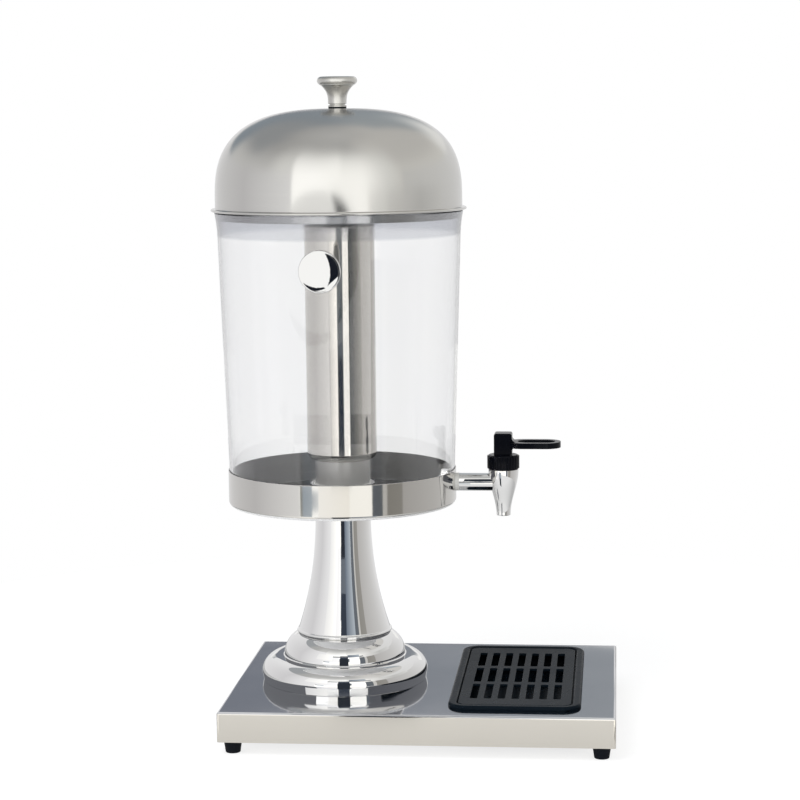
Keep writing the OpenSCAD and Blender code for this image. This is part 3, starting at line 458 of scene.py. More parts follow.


# %% [markdown]
# The chrome of the pedestal, the tap and the badge is a thin bright plating: nearly a perfect mirror with
# a trace of haze. The pan and the ice tube are polished stainless steel, which is darker and a little warm;
# the tube's neck was never polished. Both the matt neck and the matt inside of the pan get a paler colour,
# which is painted light for the bright reflections that their polished steel shows. The base is the same
# steel in sheet, with the grain of rolling along it; its top has a cool tint and its folded sides a warmer,
# paler one, and both tints are painted reflection.

# %% Metals
chrome = finish("chrome", (0.93, 0.925, 0.915), (0.015, 0.035), drift=0.01, slow=9, fine=260, height=0.000004,
                Metallic=1.0)
# inside the pan the steel turns pale and nearly non-metallic: painted light for the reflections in its
# polished inside
polished_steel = finish("polished_steel", (0.70, 0.685, 0.655), (0.06, 0.09), drift=0.02, slow=14, fine=700,
                        height=0.000003, stretch=(1, 1, 0.15), Metallic=1.0,
                        within=("radius", 0.1043, 0.0003, (0.97, 0.97, 0.98), 0.35, 0.1))
# below the neck's edge the steel is matt and paler; the paler colour is painted light for the bright bands
# the neck reflects
tube_steel = finish("tube_steel", (0.71, 0.685, 0.645), (0.055, 0.085), drift=0.02, slow=14, fine=700,
                    height=0.000003, stretch=(1, 1, 0.15), Metallic=1.0,
                    within=("height", 0.2435, 0.002, (0.90, 0.89, 0.87), 0.4))
# the top is tinted cool and the folded sides warmer and paler: both tints are painted reflection
sheet_steel = finish("sheet_steel", (0.80, 0.805, 0.82), (0.05, 0.08), drift=0.03, slow=13, fine=1500,
                     height=0.0000015, stretch=(0.02, 1, 1), Metallic=1.0,
                     within=("height", 0.0365, 0.001, (0.85, 0.81, 0.735), 0.17))
bolt_steel = finish("bolt_steel", (0.60, 0.60, 0.61), (0.28, 0.40), drift=0.06, slow=120, fine=2500,
                    height=0.00001, Metallic=1.0)

# %% [markdown]
# The lid and its knob are spun: a tool pressed against the turning sheet leaves fine rings. They scatter
# light across themselves and hardly along, so a reflection is drawn out up and down and stays sharp sideways.
# The shader's anisotropy does that, given the direction of the rings, which comes from a UV map whose u runs
# round the piece; a quarter turn puts the wide blur across the rings. Fine noise along v draws the rings
# themselves. Round the knob the dome was left bright.

# %% Spun steel
def make_spun_steel(name, colour, roughness, anisotropy, rings, bright_within=None):
    made, tree = new_material(name)
    u, v, _ = axes(tree, result(tree, "ShaderNodeUVMap", uv_map="Sweep"))
    lines = result(tree, "ShaderNodeCombineXYZ", {0: sums(tree, "MULTIPLY", u, 5.0),
                                                  1: sums(tree, "MULTIPLY", v, rings)})
    ring = put(tree, "ShaderNodeTexNoise", {"Vector": lines, "Scale": 1.0, "Detail": 4.0, "Roughness": 0.6},
               noise_dimensions="2D").outputs["Fac"]
    place = object_place(tree)
    broad = noise(tree, place, 16.0, 2.0)
    dark, pale = [tuple(c * k for c in colour) + (1,) for k in (0.96, 1.04)]
    rough = ramp(tree, broad, NOISE_LOW, NOISE_HIGH, roughness * 0.92, roughness * 1.08)
    if bright_within:
        rough = mixed_value(tree, zone(tree, place, "radius", bright_within, 0.008), 0.09, rough)
    bump = result(tree, "ShaderNodeBump", {"Height": ring, "Strength": 1.0, "Distance": 0.0000025})
    along = result(tree, "ShaderNodeTangent", direction_type="UV_MAP", uv_map="Sweep")
    dress(tree, "ShaderNodeBsdfPrincipled", {
        "Base Color": mixed_colour(tree, ring, dark, pale), "Metallic": 1.0, "Roughness": rough,
        "Normal": bump, "Tangent": along, "Anisotropic": anisotropy, "Anisotropic Rotation": 0.25})
    print("finish", name, "roughness", roughness, "anisotropy", anisotropy)
    return made


spun_steel = make_spun_steel("spun_steel", (0.70, 0.69, 0.665), 0.18, 0.93, 5200, bright_within=0.017)
turned_steel = make_spun_steel("turned_steel", (0.68, 0.67, 0.64), 0.27, 0.5, 9000)

# %% [markdown]
# The tank is clear polycarbonate. Its wall has its real thickness, so the shader only needs the refractive
# index, and what is seen through it bends as it does in the real one. A very slow bump stands for the
# faint waves of the moulding, and the flared lip is slightly hazy where the hot tool stretched it. The lip
# is also tinted grey-blue: that tint is painted shade, for the grey band seen through the lip under the lid.

# %% Clear plastic
def make_clear_plastic(index=1.585, lip_low=0.4490, lip_high=0.4515, lip_haze=0.10, wave_depth=0.00006):
    made, tree = new_material("clear_plastic")
    place = object_place(tree)
    wave = noise(tree, place, 14.0, 1.0)
    lip = ramp(tree, axes(tree, place)[2], lip_low, lip_high)
    body = mixed_colour(tree, wave, (0.970, 0.972, 0.985, 1), (0.984, 0.986, 0.980, 1))
    # the grey-blue tint of the lip is painted shade, for the grey band seen through it under the lid
    shade = mixed_colour(tree, lip, body, (0.76, 0.77, 0.80, 1))
    rough = sums(tree, "MULTIPLY", lip, lip_haze)
    bump = result(tree, "ShaderNodeBump", {"Height": wave, "Strength": 1.0, "Distance": wave_depth})
    dress(tree, "ShaderNodeBsdfPrincipled", {
        "Base Color": shade, "Roughness": rough, "Normal": bump, "IOR": index, "Transmission Weight": 1.0})
    print("finish clear_plastic, index", index)
    return made


clear_plastic = make_clear_plastic()

# %% [markdown]
# The lever and the collar are glossy black mouldings, the tray and its grille a dark slate plastic with the
# soft sheen of a fine spark texture. Feet are rubber, and the seals of the tap are pale silicone.

# %% Plastics and rubbers
black_plastic = finish("black_plastic", (0.003, 0.0035, 0.006), (0.16, 0.24), drift=0.2, slow=60, fine=1400,
                       height=0.000004, IOR=1.22)
tray_plastic = finish("tray_plastic", (0.005, 0.009, 0.014), (0.24, 0.32), drift=0.15, slow=40, fine=2200,
                      height=0.000008, IOR=1.10)
black_rubber = finish("black_rubber", (0.004, 0.006, 0.010), (0.55, 0.70), drift=0.2, slow=90, fine=1800,
                      height=0.00004, IOR=1.25)
grey_rubber = finish("grey_rubber", (0.55, 0.555, 0.56), (0.55, 0.70), drift=0.08, slow=70, fine=1600,
                     height=0.00004, IOR=1.5)
silicone = finish("white_silicone", (0.80, 0.80, 0.78), (0.35, 0.45), drift=0.04, slow=80, fine=1500,
                  height=0.00002, IOR=1.42)

# %% [markdown]
# ## Turning on a lathe
# Most of the dispenser is round. A Screw modifier could turn an outline, but a small function keeps the seam
# closed and writes the UV map that the spun finish needs. The outline is a closed loop of radius and height,
# and a radius of nought becomes one pole vertex. Where a long straight run meets the short steps of a
# rounding, a holding ring near the corner keeps the rounding's smooth shading from spreading over the run.

# %% Lathe
def arc(centre, radius, start, end, steps):
    turns = [math.radians(angle) for angle in spread(start, end, steps)]
    return [(centre[0] + radius * math.cos(turn), centre[1] + radius * math.sin(turn)) for turn in turns]


def with_holding_rings(outline, hold=0.08, shortest=0.8, contrast=0.35):
    points = [p for i, p in enumerate(outline) if math.dist(p, outline[i - 1]) > 1e-4]
    count = len(points)
    held = []
    for i, (here, there) in enumerate(zip(points, points[1:] + points[:1])):
        long = math.dist(here, there)
        before = math.dist(points[i - 1], here)
        after = math.dist(there, points[(i + 2) % count])
        held.append(here)
        for near, share in ((before, hold / long), (after, 1 - hold / long)):
            if long > shortest and near < contrast * long:
                held.append((here[0] + (there[0] - here[0]) * share, here[1] + (there[1] - here[1]) * share))
    return held


def lathe(name, outline, turns=256, crease=30, place=None):
    points = with_holding_rings(outline)
    shape = bmesh.new()
    around = [2 * math.pi * k / turns for k in range(turns)]
    rings = []
    for radius, height in points:
        spokes = around[:1] if radius < 1e-6 else around
        places = [(radius * math.cos(turn), radius * math.sin(turn), height) for turn in spokes]
        rings.append([shape.verts.new((x / 1000, y / 1000, z / 1000)) for x, y, z in places])
    sweep = shape.loops.layers.uv.new("Sweep")
    length = 0.0
    for i in range(len(points)):
        low, high = rings[i], rings[(i + 1) % len(points)]
        step = math.dist(points[i], points[(i + 1) % len(points)]) / 1000
        for k in range(turns if max(len(low), len(high)) > 1 else 0):
            corners = [(low[k % len(low)], k, 0), (low[(k + 1) % len(low)], k + 1, 0),
                       (high[(k + 1) % len(high)], k + 1, step), (high[k % len(high)], k, step)]
            corners = [c for j, c in enumerate(corners) if c[0] is not corners[j - 1][0]]
            face = shape.faces.new([c[0] for c in corners])
            for loop, (_, u, v) in zip(face.loops, corners):
                loop[sweep].uv = (u / turns, length + v)
            face.smooth = True
        length += step
    bmesh.ops.recalc_face_normals(shape, faces=shape.faces)
    piece = make_object(name, shape)
    piece.data.transform(place or Matrix.Translation((AXIS_X / 1000, 0, 0)))
    piece.data.set_sharp_from_angle(angle=math.radians(crease))
    return piece


print("lathe ready for the axis at x =", AXIS_X)

# %% [markdown]
# Every finished piece is handed over in the same way: it gets its material, rides on the body that carries
# it, and hides the solids that it stands for. Modifiers are made permanent first.

# %% Handing over
def settle(piece):
    graph = bpy.context.evaluated_depsgraph_get()
    mesh = bpy.data.meshes.new_from_object(piece.evaluated_get(graph), depsgraph=graph)
    piece.modifiers.clear()
    piece.data = mesh
    return piece


def carve(piece, tool, operation="DIFFERENCE", crease=30):
    cut = piece.modifiers.new("carve", "BOOLEAN")
    cut.operation, cut.solver, cut.object = operation, "EXACT", tool
    settle(piece)
    bpy.data.objects.remove(tool)
    piece.data.set_sharp_from_angle(angle=math.radians(crease))
    return piece


def hand_over(piece, body, slot, material, *stands_for):
    piece.data.materials.clear()
    piece.data.materials.append(material)
    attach(piece, body)
    if stands_for:
        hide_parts(*stands_for)
    print(piece.name, len(piece.data.polygons), "faces, on", body)


# %% [markdown]
# ## The lid
# The dome is spun from one sheet: a low straight wall, a crown that is flatter than a half round, and a rim
# rolled outwards into a bead that rests on the tank. The crown follows a superellipse, which keeps its
# curvature even. A revolved outline with both faces of the sheet gives the real thickness.

# %% Dome
LID_Z, DOME_Z, DOME_R, DOME_H, SHEET = 472.5, 481.0, 112.3, 83.2, 0.8
EDGE = 0.3  # how far a sharp corner is broken


def crown(radius, height, steps=56, power=2.8, bore=2.7):
    curve = [(radius * math.cos(turn) ** (2 / power), DOME_Z + height * math.sin(turn) ** (2 / power))
             for turn in spread(0, math.pi / 2, steps)]
    return [p for p in curve if p[0] > bore + 1.5] + [(bore, DOME_Z + height)]


def dome_outline(bead=1.2, bead_mid=115.1, fillet=0.7):
    inner = DOME_R - SHEET
    foot = [(inner, LID_Z + EDGE), (inner + EDGE, LID_Z)]
    rim = arc((bead_mid, LID_Z + bead), bead, -90, 90, 12)
    bend = arc((DOME_R + fillet, LID_Z + 2 * bead + fillet), fillet, -90, -180, 5)
    return foot + rim + bend + crown(DOME_R, DOME_H) + crown(inner, DOME_H - SHEET)[::-1]


dome = lathe("lid_dome_spun", dome_outline(), turns=320)
hand_over(dome, "lid", "satin_steel", spun_steel, "lid_dome")

# %% [markdown]
# Under the rim a short ring reaches into the tank and keeps the lid from sliding. It shows as a grey band
# through the clear lip.

# %% Skirt
def skirt_outline(outer=108.51, low=465.2, slip=0.06):
    inner, flange = outer - SHEET, DOME_R - SHEET - slip
    ring = [(inner, low + EDGE), (outer - SHEET / 2, low), (outer, low + EDGE), (outer, LID_Z)]
    return ring + [(flange, LID_Z), (flange, LID_Z + SHEET), (inner, LID_Z + SHEET)]


skirt = lathe("lid_skirt_ring", skirt_outline())
hand_over(skirt, "lid", "satin_steel", spun_steel, "lid_skirt")

# %% [markdown]
# The knob is turned from bar: a foot ring, a groove, a neck that flares like a small trumpet, a thin lip and
# a rounded cap. A cubic gives the flare, slow at the bottom and fast under the cap.

# %% Knob
def knob_outline(base=565.4, height=27.3, bore=2.45, hole=19.8):
    foot_r, edge, lip_r = 8.0, 0.4, 16.34
    neck_r, neck_z, neck_h, flare = 8.4, 3.02, 16.88, 7.14
    cap_r = 3.7
    foot = [(bore, 0)] + arc((foot_r, edge), edge, -90, 0, 4) + arc((foot_r, 1.1), edge, 0, 70, 4)
    groove = [(7.1, 1.75), (7.0, 1.95), (7.0, 2.45), (7.6, 2.7), (8.1, 2.86)]
    neck = [(neck_r + flare * t ** 3, neck_z + neck_h * t) for t in spread(0, 1, 16)]
    lip = [(lip_r - 0.14, 19.95), (lip_r, 20.1), (lip_r, 20.45)]
    cap = arc((14.5, height - cap_r), cap_r, -57, 90, 18) + [(6.0, height), (0, height)]
    screw_hole = [(0, hole), (bore, hole)]
    return [(r, z + base) for r, z in foot + groove + neck + lip + cap + screw_hole]


knob = lathe("lid_knob_turned", knob_outline(), turns=160, crease=40)
hand_over(knob, "lid", "satin_steel", turned_steel, "lid_knob")

# %% [markdown]
# ## The tank
# The tank is a tapered wall with a slightly flared lip, a raised floor, and a socket for the ice tube, all
# welded into one clear piece. In CAD these are three solids, so that a simulation finds the hollow open;
# here one closed mesh stands for all three, because a gap between two clear solids would shine.

# %% Tank
TANK_Z, FLOOR_Z, MID_Z, PAN_RIM_Z, LIP_Z, TANK_RIM_Z = 206.0, 209.0, 216.0, 235.6, 450.2, 472.2
TANK_R, TAPER, FLARE, WALL = 103.75, 0.03192, 2.0, 2.8  # TANK_R is the radius at the pan's rim
SHANK_Z = 222.9
along_shank = Matrix.Translation((AXIS_X / 1000, 0, SHANK_Z / 1000)) @ Matrix.Rotation(math.pi / 2, 4, "Y")


def tank_r(z):
    flare = FLARE * max((z - LIP_Z) / (TANK_RIM_Z - LIP_Z), 0) ** 2
    return TANK_R + (z - PAN_RIM_Z) * TAPER + flare


def tank_outline(edge=2.0, corner=1.5, socket_r=29.95, socket_bore=27.1, socket_h=6.0):
    below, lip_mid, socket_z = MID_Z - (FLOOR_Z - TANK_Z), TANK_RIM_Z - 1.2, MID_Z + socket_h
    heights = spread(LIP_Z, LIP_Z + 21.0, 14)
    under = [(0, below), (37.0, below), (40.5, TANK_Z)]
    outside = arc((tank_r(TANK_Z + edge) - edge, TANK_Z + edge), edge, -90, 0, 6)
    outside += [(tank_r(z), z) for z in heights]
    lip = arc((tank_r(lip_mid) - WALL / 2, lip_mid), WALL / 2, 12, 168, 8)
    lip = [(r, min(z, TANK_RIM_Z)) for r, z in lip]
    inside = [(tank_r(z) - WALL, z) for z in heights[::-1]]
    inside += arc((tank_r(FLOOR_Z + corner) - WALL - corner, FLOOR_Z + corner), corner, 0, -90, 5)
    step = [(42.0, FLOOR_Z), (38.5, MID_Z)]
    socket = [(socket_r, MID_Z), (socket_r, socket_z - 0.4), (socket_r - 0.45, socket_z),
              (socket_bore + 0.5, socket_z), (socket_bore, socket_z - 0.4), (socket_bore, MID_Z), (0, MID_Z)]
    return under + outside + lip + inside + step + socket


def drilled(piece, radius=6.3, start=80, end=130):
    drill = [(0, start), (radius, start), (radius, end), (0, end)]
    return carve(piece, lathe("drill", drill, turns=64, place=along_shank))


tank = drilled(lathe("tank_clear", tank_outline(), turns=320))
hand_over(tank, "stand", "clear_plastic", clear_plastic, "tank", "tank_bottom", "tube_socket")

# %% [markdown]
# The ice tube is a steel cup on the tank's axis: a narrow neck that plugs into the socket, a rounded
# shoulder, and a straight body with a rolled top. The pan below is a shallow drawn dish.

# %% Ice tube and pan
ROD_BORE = 5.3


def tube_outline(low=216.05, neck_r=25.0, shoulder=7.0, shoulder_z=251.05, top=458.0):
    outer, floor, neck_bore = neck_r + shoulder, low + SHEET, neck_r - SHEET
    bend = (neck_r, shoulder_z)
    foot = [(0, low), (neck_bore, low), (neck_r, low + 0.75)]
    outside = foot + arc(bend, shoulder, -90, 0, 14) + [(outer, top)]
    bead = arc((outer, top + 0.24), 0.96, -60, 150, 12)
    inside = [(outer - SHEET, top - 0.4)] + arc(bend, shoulder - SHEET, 0, -90, 12)
    neck = [(neck_bore, 244.7), (neck_bore, floor + 0.35), (neck_bore - 0.5, floor), (0, floor)]
    return outside + bead + inside + neck


def pan_outline(low=203.7, outer=104.9, corner=4.0):
    bend = (outer - corner, low + corner)
    rim = arc((outer - SHEET / 2, PAN_RIM_Z - SHEET / 2), SHEET / 2, 0, 180, 8)
    outside = [(ROD_BORE, low)] + arc(bend, corner, -90, 0, 12) + rim
    inside = arc(bend, corner - SHEET, 0, -90, 10) + [(ROD_BORE, low + SHEET)]
    return outside + inside


tube = lathe("ice_tube_polished", tube_outline())
hand_over(tube, "tube", "polished_steel", tube_steel, "ice_tube")
pan = drilled(lathe("pan_polished", pan_outline(), turns=320))
hand_over(pan, "stand", "polished_steel", polished_steel, "pan")

# %% [markdown]
# ## The badge
# On the front of the tank sits a blank chromed disc: a rounded rim round a shallow bulge. It is turned about
# the line that it faces along, so the lathe's result is tipped forward and pushed out to the tank's wall.

# %% Badge
BADGE_Z, BADGE_OUT, BADGE_TURN = 424.1, 111.36, -1.9  # height, distance from the axis, degrees
BADGE_R, BADGE_RIM, BADGE_BULGE = 17.6, 2.2, 4.0
BALL_R = (BADGE_R ** 2 + BADGE_BULGE ** 2) / (2 * BADGE_BULGE)
BALL_Z = BADGE_RIM + BADGE_BULGE - BALL_R


def badge_outline(steps=24):
    half_rim = BADGE_RIM / 2
    slope = math.degrees(math.asin(BADGE_R / BALL_R))
    dome_top = arc((0, BALL_Z), BALL_R, 90 - slope, 90, steps)
    return [(0, 0), (BADGE_R - EDGE, 0)] + arc((BADGE_R, half_rim), half_rim, -90, 90, 12) + dome_top


facing = (Matrix.Translation((AXIS_X / 1000, 0, BADGE_Z / 1000))
          @ Matrix.Rotation(math.radians(BADGE_TURN), 4, "Z")
          @ Matrix.Translation((0, -BADGE_OUT / 1000, 0)) @ Matrix.Rotation(math.pi / 2, 4, "X"))
badge = lathe("tank_badge_disc", badge_outline(), turns=192, crease=40, place=facing)
hand_over(badge, "stand", "chrome", chrome, "tank_badge")

# %% [markdown]
# The badge is a small convex mirror, and a photographer gives it a card of its own: a white sheet that
# fills the bulge, black on the right and along the rim at the lower left. It could be placed by trial, but
# here a ray from the camera is followed off each spot of the bulge, and the card stands a little way along
# these rays. Spots are given in shares of the bulge's radius, and parabolas bound the black parts.

# %% Card for the badge
CARD_REACH = 0.075
CARD_BLACK, CARD_WHITE = (0.010, 0.012, 0.018), (0.98, 0.98, 0.97)


def card_spot(across, up):
    x, y = across * BADGE_R, up * BADGE_R
    rise = math.sqrt(BALL_R ** 2 - x * x - y * y)
    spot = facing @ (Vector((x, y, BALL_Z + rise)) / 1000)
    normal = facing.to_3x3() @ Vector((x, y, rise))
    return spot + CARD_REACH * (spot - EYE).reflect(normal).normalized()


def card_light(across, up):
    right_part = across > 0.57 - 0.33 * up ** 2 and up > 0.93 * across - 1.08
    low_edge = 0.35 * (across + 0.35) ** 2 - 0.95
    high_edge = 0.42 * (across + 0.04) ** 2 - 0.77
    low_part = across < 0.27 and low_edge < up < high_edge
    black = math.hypot(across, up) < 0.965 and (right_part or low_part)
    return CARD_BLACK if black else CARD_WHITE


def make_badge_card(rings=40, spokes=120):
    turns = [2 * math.pi * spoke / spokes for spoke in range(spokes)]
    rows = []
    for share in spread(1 / rings, 1, rings - 1):
        spots = [(share * math.cos(turn), share * math.sin(turn)) for turn in turns]
        rows.append([(card_spot(*spot), card_light(*spot)) for spot in spots])
    hang("badge_card", outside_card, rows, closed=True)
    print("badge card of", rings, "rings")


make_badge_card()

# %% [markdown]
# ## The pedestal
# Two chromed castings are clamped by one long rod: a foot of two tiers with an upright hem, and a column
# that flares downwards like a trumpet. Both are hollow. The flare is one long arc, and the tiers are arcs
# too, so the outlines are short.

# %% Foot and column
PLATE_Z, COLUMN_Z, COLUMN_R = 38.5, 82.5, 25.5
TRUMPET_RUN, TRUMPET_FLARE = 109.2, 18.1
TRUMPET_R = (TRUMPET_RUN ** 2 + TRUMPET_FLARE ** 2) / (2 * TRUMPET_FLARE)


def column_r(h):
    return COLUMN_R + TRUMPET_R - math.sqrt(TRUMPET_R ** 2 - max(TRUMPET_RUN - h, 0) ** 2)


def foot_outline(wall=2.5, spigot_h=2.9, height=COLUMN_Z - PLATE_Z):
    low_mid, low_r = (62, 7.5), 15
    high_mid, high_r = (33.8, 23), 22.5
    spigot_r = column_r(3.0) - 2.8
    hem = [(73.4, 0), (75.4, 0), (75.8, 0.4), (76.9, 7.0)]
    step = [(61.0, 22.5), (57.2, 22.5)]
    seat = [(42.2, height - 0.05), (41.2, height)]
    outside = hem + arc(low_mid, low_r, 0, 88, 26) + step + arc(high_mid, high_r, 1, 66, 24) + seat
    spigot = [(spigot_r, height), (spigot_r, height + spigot_h), (spigot_r - wall, height + spigot_h),
              (spigot_r - wall, height), (ROD_BORE, height), (ROD_BORE, height - wall)]
    inside = arc(high_mid, high_r - wall, 67, -8, 12) + arc(low_mid, low_r - wall, 90, 0, 12)
    return [(r, z + PLATE_Z) for r, z in outside + spigot + inside]


def column_outline(height=121.2, head=4.0, wall=2.6, edge=0.4):
    bead_mid, bead = 42.16, 1.8
    hem = [(41.5, 0)] + arc((bead_mid, bead), bead, -90, 75, 14)
    outside = [(column_r(h), h) for h in spread(4.2, TRUMPET_RUN, 40)]
    top = [(COLUMN_R, height - edge), (COLUMN_R - edge, height)]
    rod_hole = [(ROD_BORE, height), (ROD_BORE, height - head)]
    inside = [(column_r(h) - wall, h) for h in spread(height - head, 0, 24)]
    return [(r, z + COLUMN_Z) for r, z in hem + outside + top + rod_hole + inside]


foot = lathe("pedestal_foot_chromed", foot_outline(), turns=320, crease=25)
hand_over(foot, "stand", "chrome", chrome, "pedestal_foot")
column = lathe("pedestal_column_chromed", column_outline(), turns=320, crease=28)
hand_over(column, "stand", "chrome", chrome, "pedestal_column")

# %% [markdown]
# ## The tap
# The tap's body is a chromed casting: a spout that swells upwards in a smooth wave, with a round shank that
# passes through pan and tank. Two lathe pieces are joined with a boolean union, so the seam is a true edge.

# %% Tap body
TAP_X, SPOUT_Z, SPOUT_H = 80.75, 192.2, 43.2
at_tap = Matrix.Translation((TAP_X / 1000, 0, 0))


def spout_outline(tip=6.5, swell=7.5, bore=4.2, neck=11.25, chamber=9.0, edge=0.4):
    head, head_z, neck_z, chamber_z = tip + swell, SPOUT_Z + SPOUT_H, 243.0, 216.0
    mouth = [(bore, SPOUT_Z), (tip - edge, SPOUT_Z), (tip, SPOUT_Z + edge), (tip + 0.05, SPOUT_Z + 1.2)]
    wave = [(tip + swell * (1 - math.cos(math.pi * t)) / 2, SPOUT_Z + SPOUT_H * t) for t in spread(0, 1, 36)]
    top = [(head, head_z - edge), (head - edge, head_z), (neck, head_z), (neck, neck_z)]
    inside = [(chamber, neck_z), (chamber, chamber_z), (bore, chamber_z)]
    return mouth + wave[2:-1] + top + inside


def shank_outline(bore=4.0, thread=6.0, shank=8.2, start=88.64, shoulder=107.9, end=139.0):
    screwed = [(bore, start), (thread - 0.5, start), (thread, start + 0.56), (thread, shoulder)]
    return screwed + [(shank - EDGE, shoulder), (shank, shoulder + EDGE), (shank, end), (bore, end)]


tap = carve(lathe("tap_body_chromed", spout_outline(), turns=128, place=at_tap),
            lathe("shank", shank_outline(), turns=96, place=along_shank), "UNION")
hand_over(tap, "stand", "chrome", chrome, "tap_body")

# %% [markdown]
# The collar that closes the tap has upright ribs for the fingers. Ribs repeat round a circle, which is what
# Geometry Nodes are for: a mesh circle gives the places, a small bar is set on each and turned to face out,
# and Realize Instances makes one mesh. The sizes are inputs of the tree.

# %% A ring of ribs in Geometry Nodes
def start_tree(name, **inputs):
    tree = bpy.data.node_groups.new(name, "GeometryNodeTree")
    tree.interface.new_socket("Geometry", in_out="OUTPUT", socket_type="NodeSocketGeometry")
    for kind, names in inputs.items():
        add_inputs(tree, kind, *names)
    return tree, put(tree, "NodeGroupInput").outputs


def end_tree(tree, geometry, centre, material):
    moved = result(tree, "GeometryNodeTransform", {"Geometry": geometry, "Translation": centre})
    real = result(tree, "GeometryNodeRealizeInstances", {"Geometry": moved})
    dressed = result(tree, "GeometryNodeSetMaterial", {"Geometry": real, "Material": material})
    put(tree, "NodeGroupOutput", {"Geometry": dressed})
    print(tree.name, "tree with", len(tree.nodes), "nodes")
    return tree


def shape_of(tree, socket):
    return put(tree, "GeometryNodeObjectInfo", {"Object": socket}).outputs["Geometry"]


def make_ring_tree():
    tree, given = start_tree("ring_of_bars", Object=["Bar"], Int=["Count"], Float=["Radius"],
                             Vector=["Centre"], Material=["Finish"])
    circle = result(tree, "GeometryNodeMeshCircle", {"Vertices": given["Count"], "Radius": given["Radius"]})
    outward = result(tree, "GeometryNodeInputPosition")
    turn = result(tree, "FunctionNodeAlignEulerToVector", {"Vector": outward}, axis="X", pivot_axis="Z")
    feeds = {"Points": circle, "Instance": shape_of(tree, given["Bar"]), "Rotation": turn}
    bars = result(tree, "GeometryNodeInstanceOnPoints", feeds)
    return end_tree(tree, bars, given["Centre"], given["Finish"])


def grow(name, tree, values):
    piece = bpy.data.objects.new(name, bpy.data.meshes.new(name))
    scene.collection.objects.link(piece)
    nodes_modifier = piece.modifiers.new("grow", "NODES")
    nodes_modifier.node_group = tree
    for item in tree.interface.items_tree:
        if item.in_out == "INPUT" and item.name in values:
            nodes_modifier[item.identifier] = values[item.name]
    return settle(piece)


ring_tree = make_ring_tree()

# %% [markdown]
# One rib is a bar with rounded edges. The collar under the ribs is turned like the other round pieces.

# %% Collar
def rib_bar(width=1.95, depth=1.1, height=11.6, edge=0.32):
    shape = bmesh.new()
    bmesh.ops.create_cube(shape, size=1.0)
    bmesh.ops.scale(shape, verts=shape.verts, vec=(depth / 1000, width / 1000, height / 1000))
    bmesh.ops.bevel(shape, geom=list(shape.edges), offset=edge / 1000, segments=2, profile=0.6,
                    affect="EDGES")
    for face in shape.faces:
        face.smooth = True
    return make_object("rib_bar", shape)


def collar_outline(bore=11.3, outer=14.1, low=235.4, high=248.4, stem_bore=3.05, ceiling=243.05):
    side = [(bore, low), (outer - 0.6, low), (outer, low + 0.6), (outer, high - 1.1)]
    top = [(outer - 0.7, high - 0.2), (outer - 1.2, high), (stem_bore, high)]
    return side + top + [(stem_bore, ceiling), (bore, ceiling)]


RIB_COUNT, RIB_R, RIB_Z = 32, 14.15, 241.7
bar = rib_bar()
ribs = grow("collar_ribs", ring_tree, {
    "Bar": bar, "Count": RIB_COUNT, "Radius": RIB_R / 1000, "Finish": black_plastic,
    "Centre": (TAP_X / 1000, 0, RIB_Z / 1000)})
bpy.data.objects.remove(bar)
hand_over(ribs, "stand", "black_plastic", black_plastic)
collar = lathe("tap_collar", collar_outline(), turns=128, place=at_tap)
hand_over(collar, "stand", "black_plastic", black_plastic, "tap_bonnet")

# %% [markdown]
# The lever's post, involute heel and finger loop are exact in CAD. A moulding has no sharp edges, so a copy
# of the CAD mesh is merged, its flat faces are joined, and a Bevel modifier rounds the edges.

# %% Soft-edged copies
def round_edges(piece, width, segments, angle):
    edge = piece.modifiers.new("edge", "BEVEL")
    edge.limit_method = "ANGLE"
    edge.angle_limit = math.radians(angle)
    edge.width = width / 1000
    edge.segments = segments


def soft_copy(node, name, width=0, crease=30, merge=0.000004, flat=0.4):
    shape = bmesh.new()
    shape.from_mesh(nodes[node].data)
    bmesh.ops.remove_doubles(shape, verts=shape.verts, dist=merge)
    bmesh.ops.dissolve_limit(shape, angle_limit=math.radians(flat), verts=shape.verts, edges=shape.edges)
    for face in shape.faces:
        face.smooth = True
    piece = make_object(name, shape)
    piece.data.set_sharp_from_angle(angle=math.radians(crease))
    if width:
        round_edges(piece, width, segments=3, angle=crease)
    piece.modifiers.new("even", "WEIGHTED_NORMAL").keep_sharp = True
    return settle(piece)


lever = soft_copy("tap_lever", "tap_lever_moulded", width=0.7)
hand_over(lever, "lever", "black_plastic", black_plastic, "tap_lever")

# %% [markdown]
# ## Base, feet and tray
# The base is a folded sheet-steel box. Its folds are rounded in CAD already, so a merged copy with even
# normals is enough. The same goes for the tray with its rolled rim. The rubber feet get rounded edges.

# %% Base, feet and tray
base = soft_copy("base_shell", "base_shell_folded", crease=40)
hand_over(base, "stand", "satin_steel", sheet_steel, "base_shell")
feet = soft_copy("rubber_feet", "rubber_feet_moulded", width=0.5)
hand_over(feet, "stand", "black_rubber", black_rubber, "rubber_feet")
tray = soft_copy("drip_tray", "drip_tray_moulded", crease=40)
hand_over(tray, "tray", "tray_plastic", tray_plastic, "drip_tray")

# %% [markdown]
# The grille is a plate with three rows of seven slots. The slots repeat on a grid, so Geometry Nodes place
# one cutter on each point of the grid and take them all out of the plate at once.

# %% Grille tree
def make_grille_tree():
    tree, given = start_tree("slotted_plate", Object=["Plate", "Cutter"], Int=["Columns", "Rows"],
                             Float=["Width", "Length"], Vector=["Centre"], Material=["Finish"])
    grid = result(tree, "GeometryNodeMeshGrid", {
        "Size X": given["Width"], "Size Y": given["Length"], "Vertices X": given["Columns"],
        "Vertices Y": given["Rows"]})
    feeds = {"Points": grid, "Instance": shape_of(tree, given["Cutter"])}
    cutters = result(tree, "GeometryNodeInstanceOnPoints", feeds)
    tools = result(tree, "GeometryNodeRealizeInstances", {"Geometry": cutters})
    cut = put(tree, "GeometryNodeMeshBoolean", {"Mesh 1": shape_of(tree, given["Plate"]), "Mesh 2": tools},
              operation="DIFFERENCE", solver="EXACT").outputs["Mesh"]
    return end_tree(tree, cut, given["Centre"], given["Finish"])


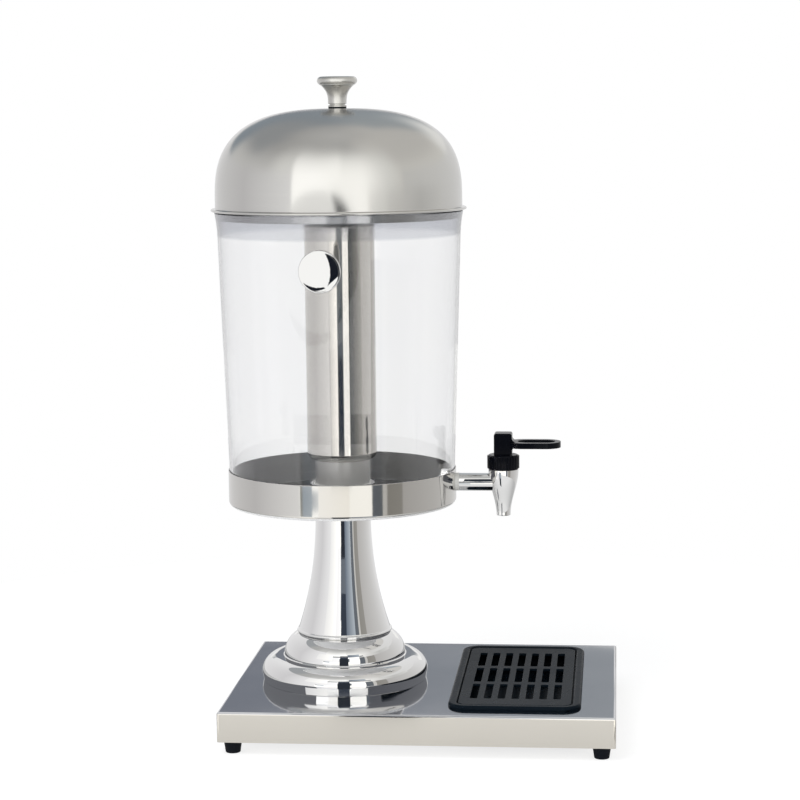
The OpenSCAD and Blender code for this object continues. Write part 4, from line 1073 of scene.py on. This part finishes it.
def slab(name, width, depth, corner, low, high, steps=6):
    outline = []
    for x, y, start in ((1, 1, 0), (-1, 1, 90), (-1, -1, 180), (1, -1, 270)):
        outline += arc((x * (width / 2 - corner), y * (depth / 2 - corner)), corner, start, start + 90, steps)
    shape = bmesh.new()
    bottom = shape.faces.new([shape.verts.new((x / 1000, y / 1000, low / 1000)) for x, y in outline])
    lifted = bmesh.ops.extrude_face_region(shape, geom=[bottom])["geom"]
    bmesh.ops.translate(shape, verts=[v for v in lifted if isinstance(v, bmesh.types.BMVert)],
                        vec=(0, 0, (high - low) / 1000))
    bmesh.ops.recalc_face_normals(shape, faces=shape.faces)
    return make_object(name, shape)


grille_tree = make_grille_tree()

# %% [markdown]
# The plate and one cutter go into the tree. The edges of the slots are rounded afterwards.

# %% Grille
GRILLE_X, COLUMNS, ROWS, COLUMN_STEP, ROW_STEP = 94.5, 7, 3, 12.4, 59.3
SHARP = 50  # degrees
plate = slab("plate", width=100.4, depth=211.9, corner=8.65, low=38.9, high=41.5)
cutter = slab("cutter", width=6.6, depth=50.0, corner=1.6, low=30.0, high=50.0)
grille = grow("drip_grille_slotted", grille_tree, {
    "Plate": plate, "Cutter": cutter, "Columns": COLUMNS, "Rows": ROWS,
    "Width": (COLUMNS - 1) * COLUMN_STEP / 1000, "Length": (ROWS - 1) * ROW_STEP / 1000,
    "Centre": (GRILLE_X / 1000, 0, 0), "Finish": tray_plastic})
for tool in (plate, cutter):
    bpy.data.objects.remove(tool)
round_edges(grille, width=0.6, segments=2, angle=SHARP)
settle(grille)
for face in grille.data.polygons:
    face.use_smooth = True
grille.data.set_sharp_from_angle(angle=math.radians(SHARP))
grille.modifiers.new("even", "WEIGHTED_NORMAL").keep_sharp = True
settle(grille)
hand_over(grille, "grille", "tray_plastic", tray_plastic, "drip_grille")

# %% [markdown]
# ## The rest of the solids
# Screws, nuts, washers, seals and the works of the tap keep their CAD meshes and only get a finish.

# %% Finishes for the other solids
REST = {
    bolt_steel: ("foot_screws", "foot_nuts", "tie_rod", "rod_washers", "rod_nut", "knob_screw", "tap_stem",
                 "tap_spring", "lever_pin"),
    chrome: ("shank_nut",),
    # the washer's black also stands in for the knob's dark reflection in the crown: partly a real washer,
    # partly painted reflection
    black_rubber: ("knob_washer",),
    grey_rubber: ("tank_pad",),
    silicone: ("badge_pad", "tube_seal", "outer_gasket", "inner_gasket", "seat_cup"),
}
for material, names in REST.items():
    for name in names:
        nodes[name].data.materials.clear()
        nodes[name].data.materials.append(material)
print(sum(len(names) for names in REST.values()), "solids keep their CAD mesh")
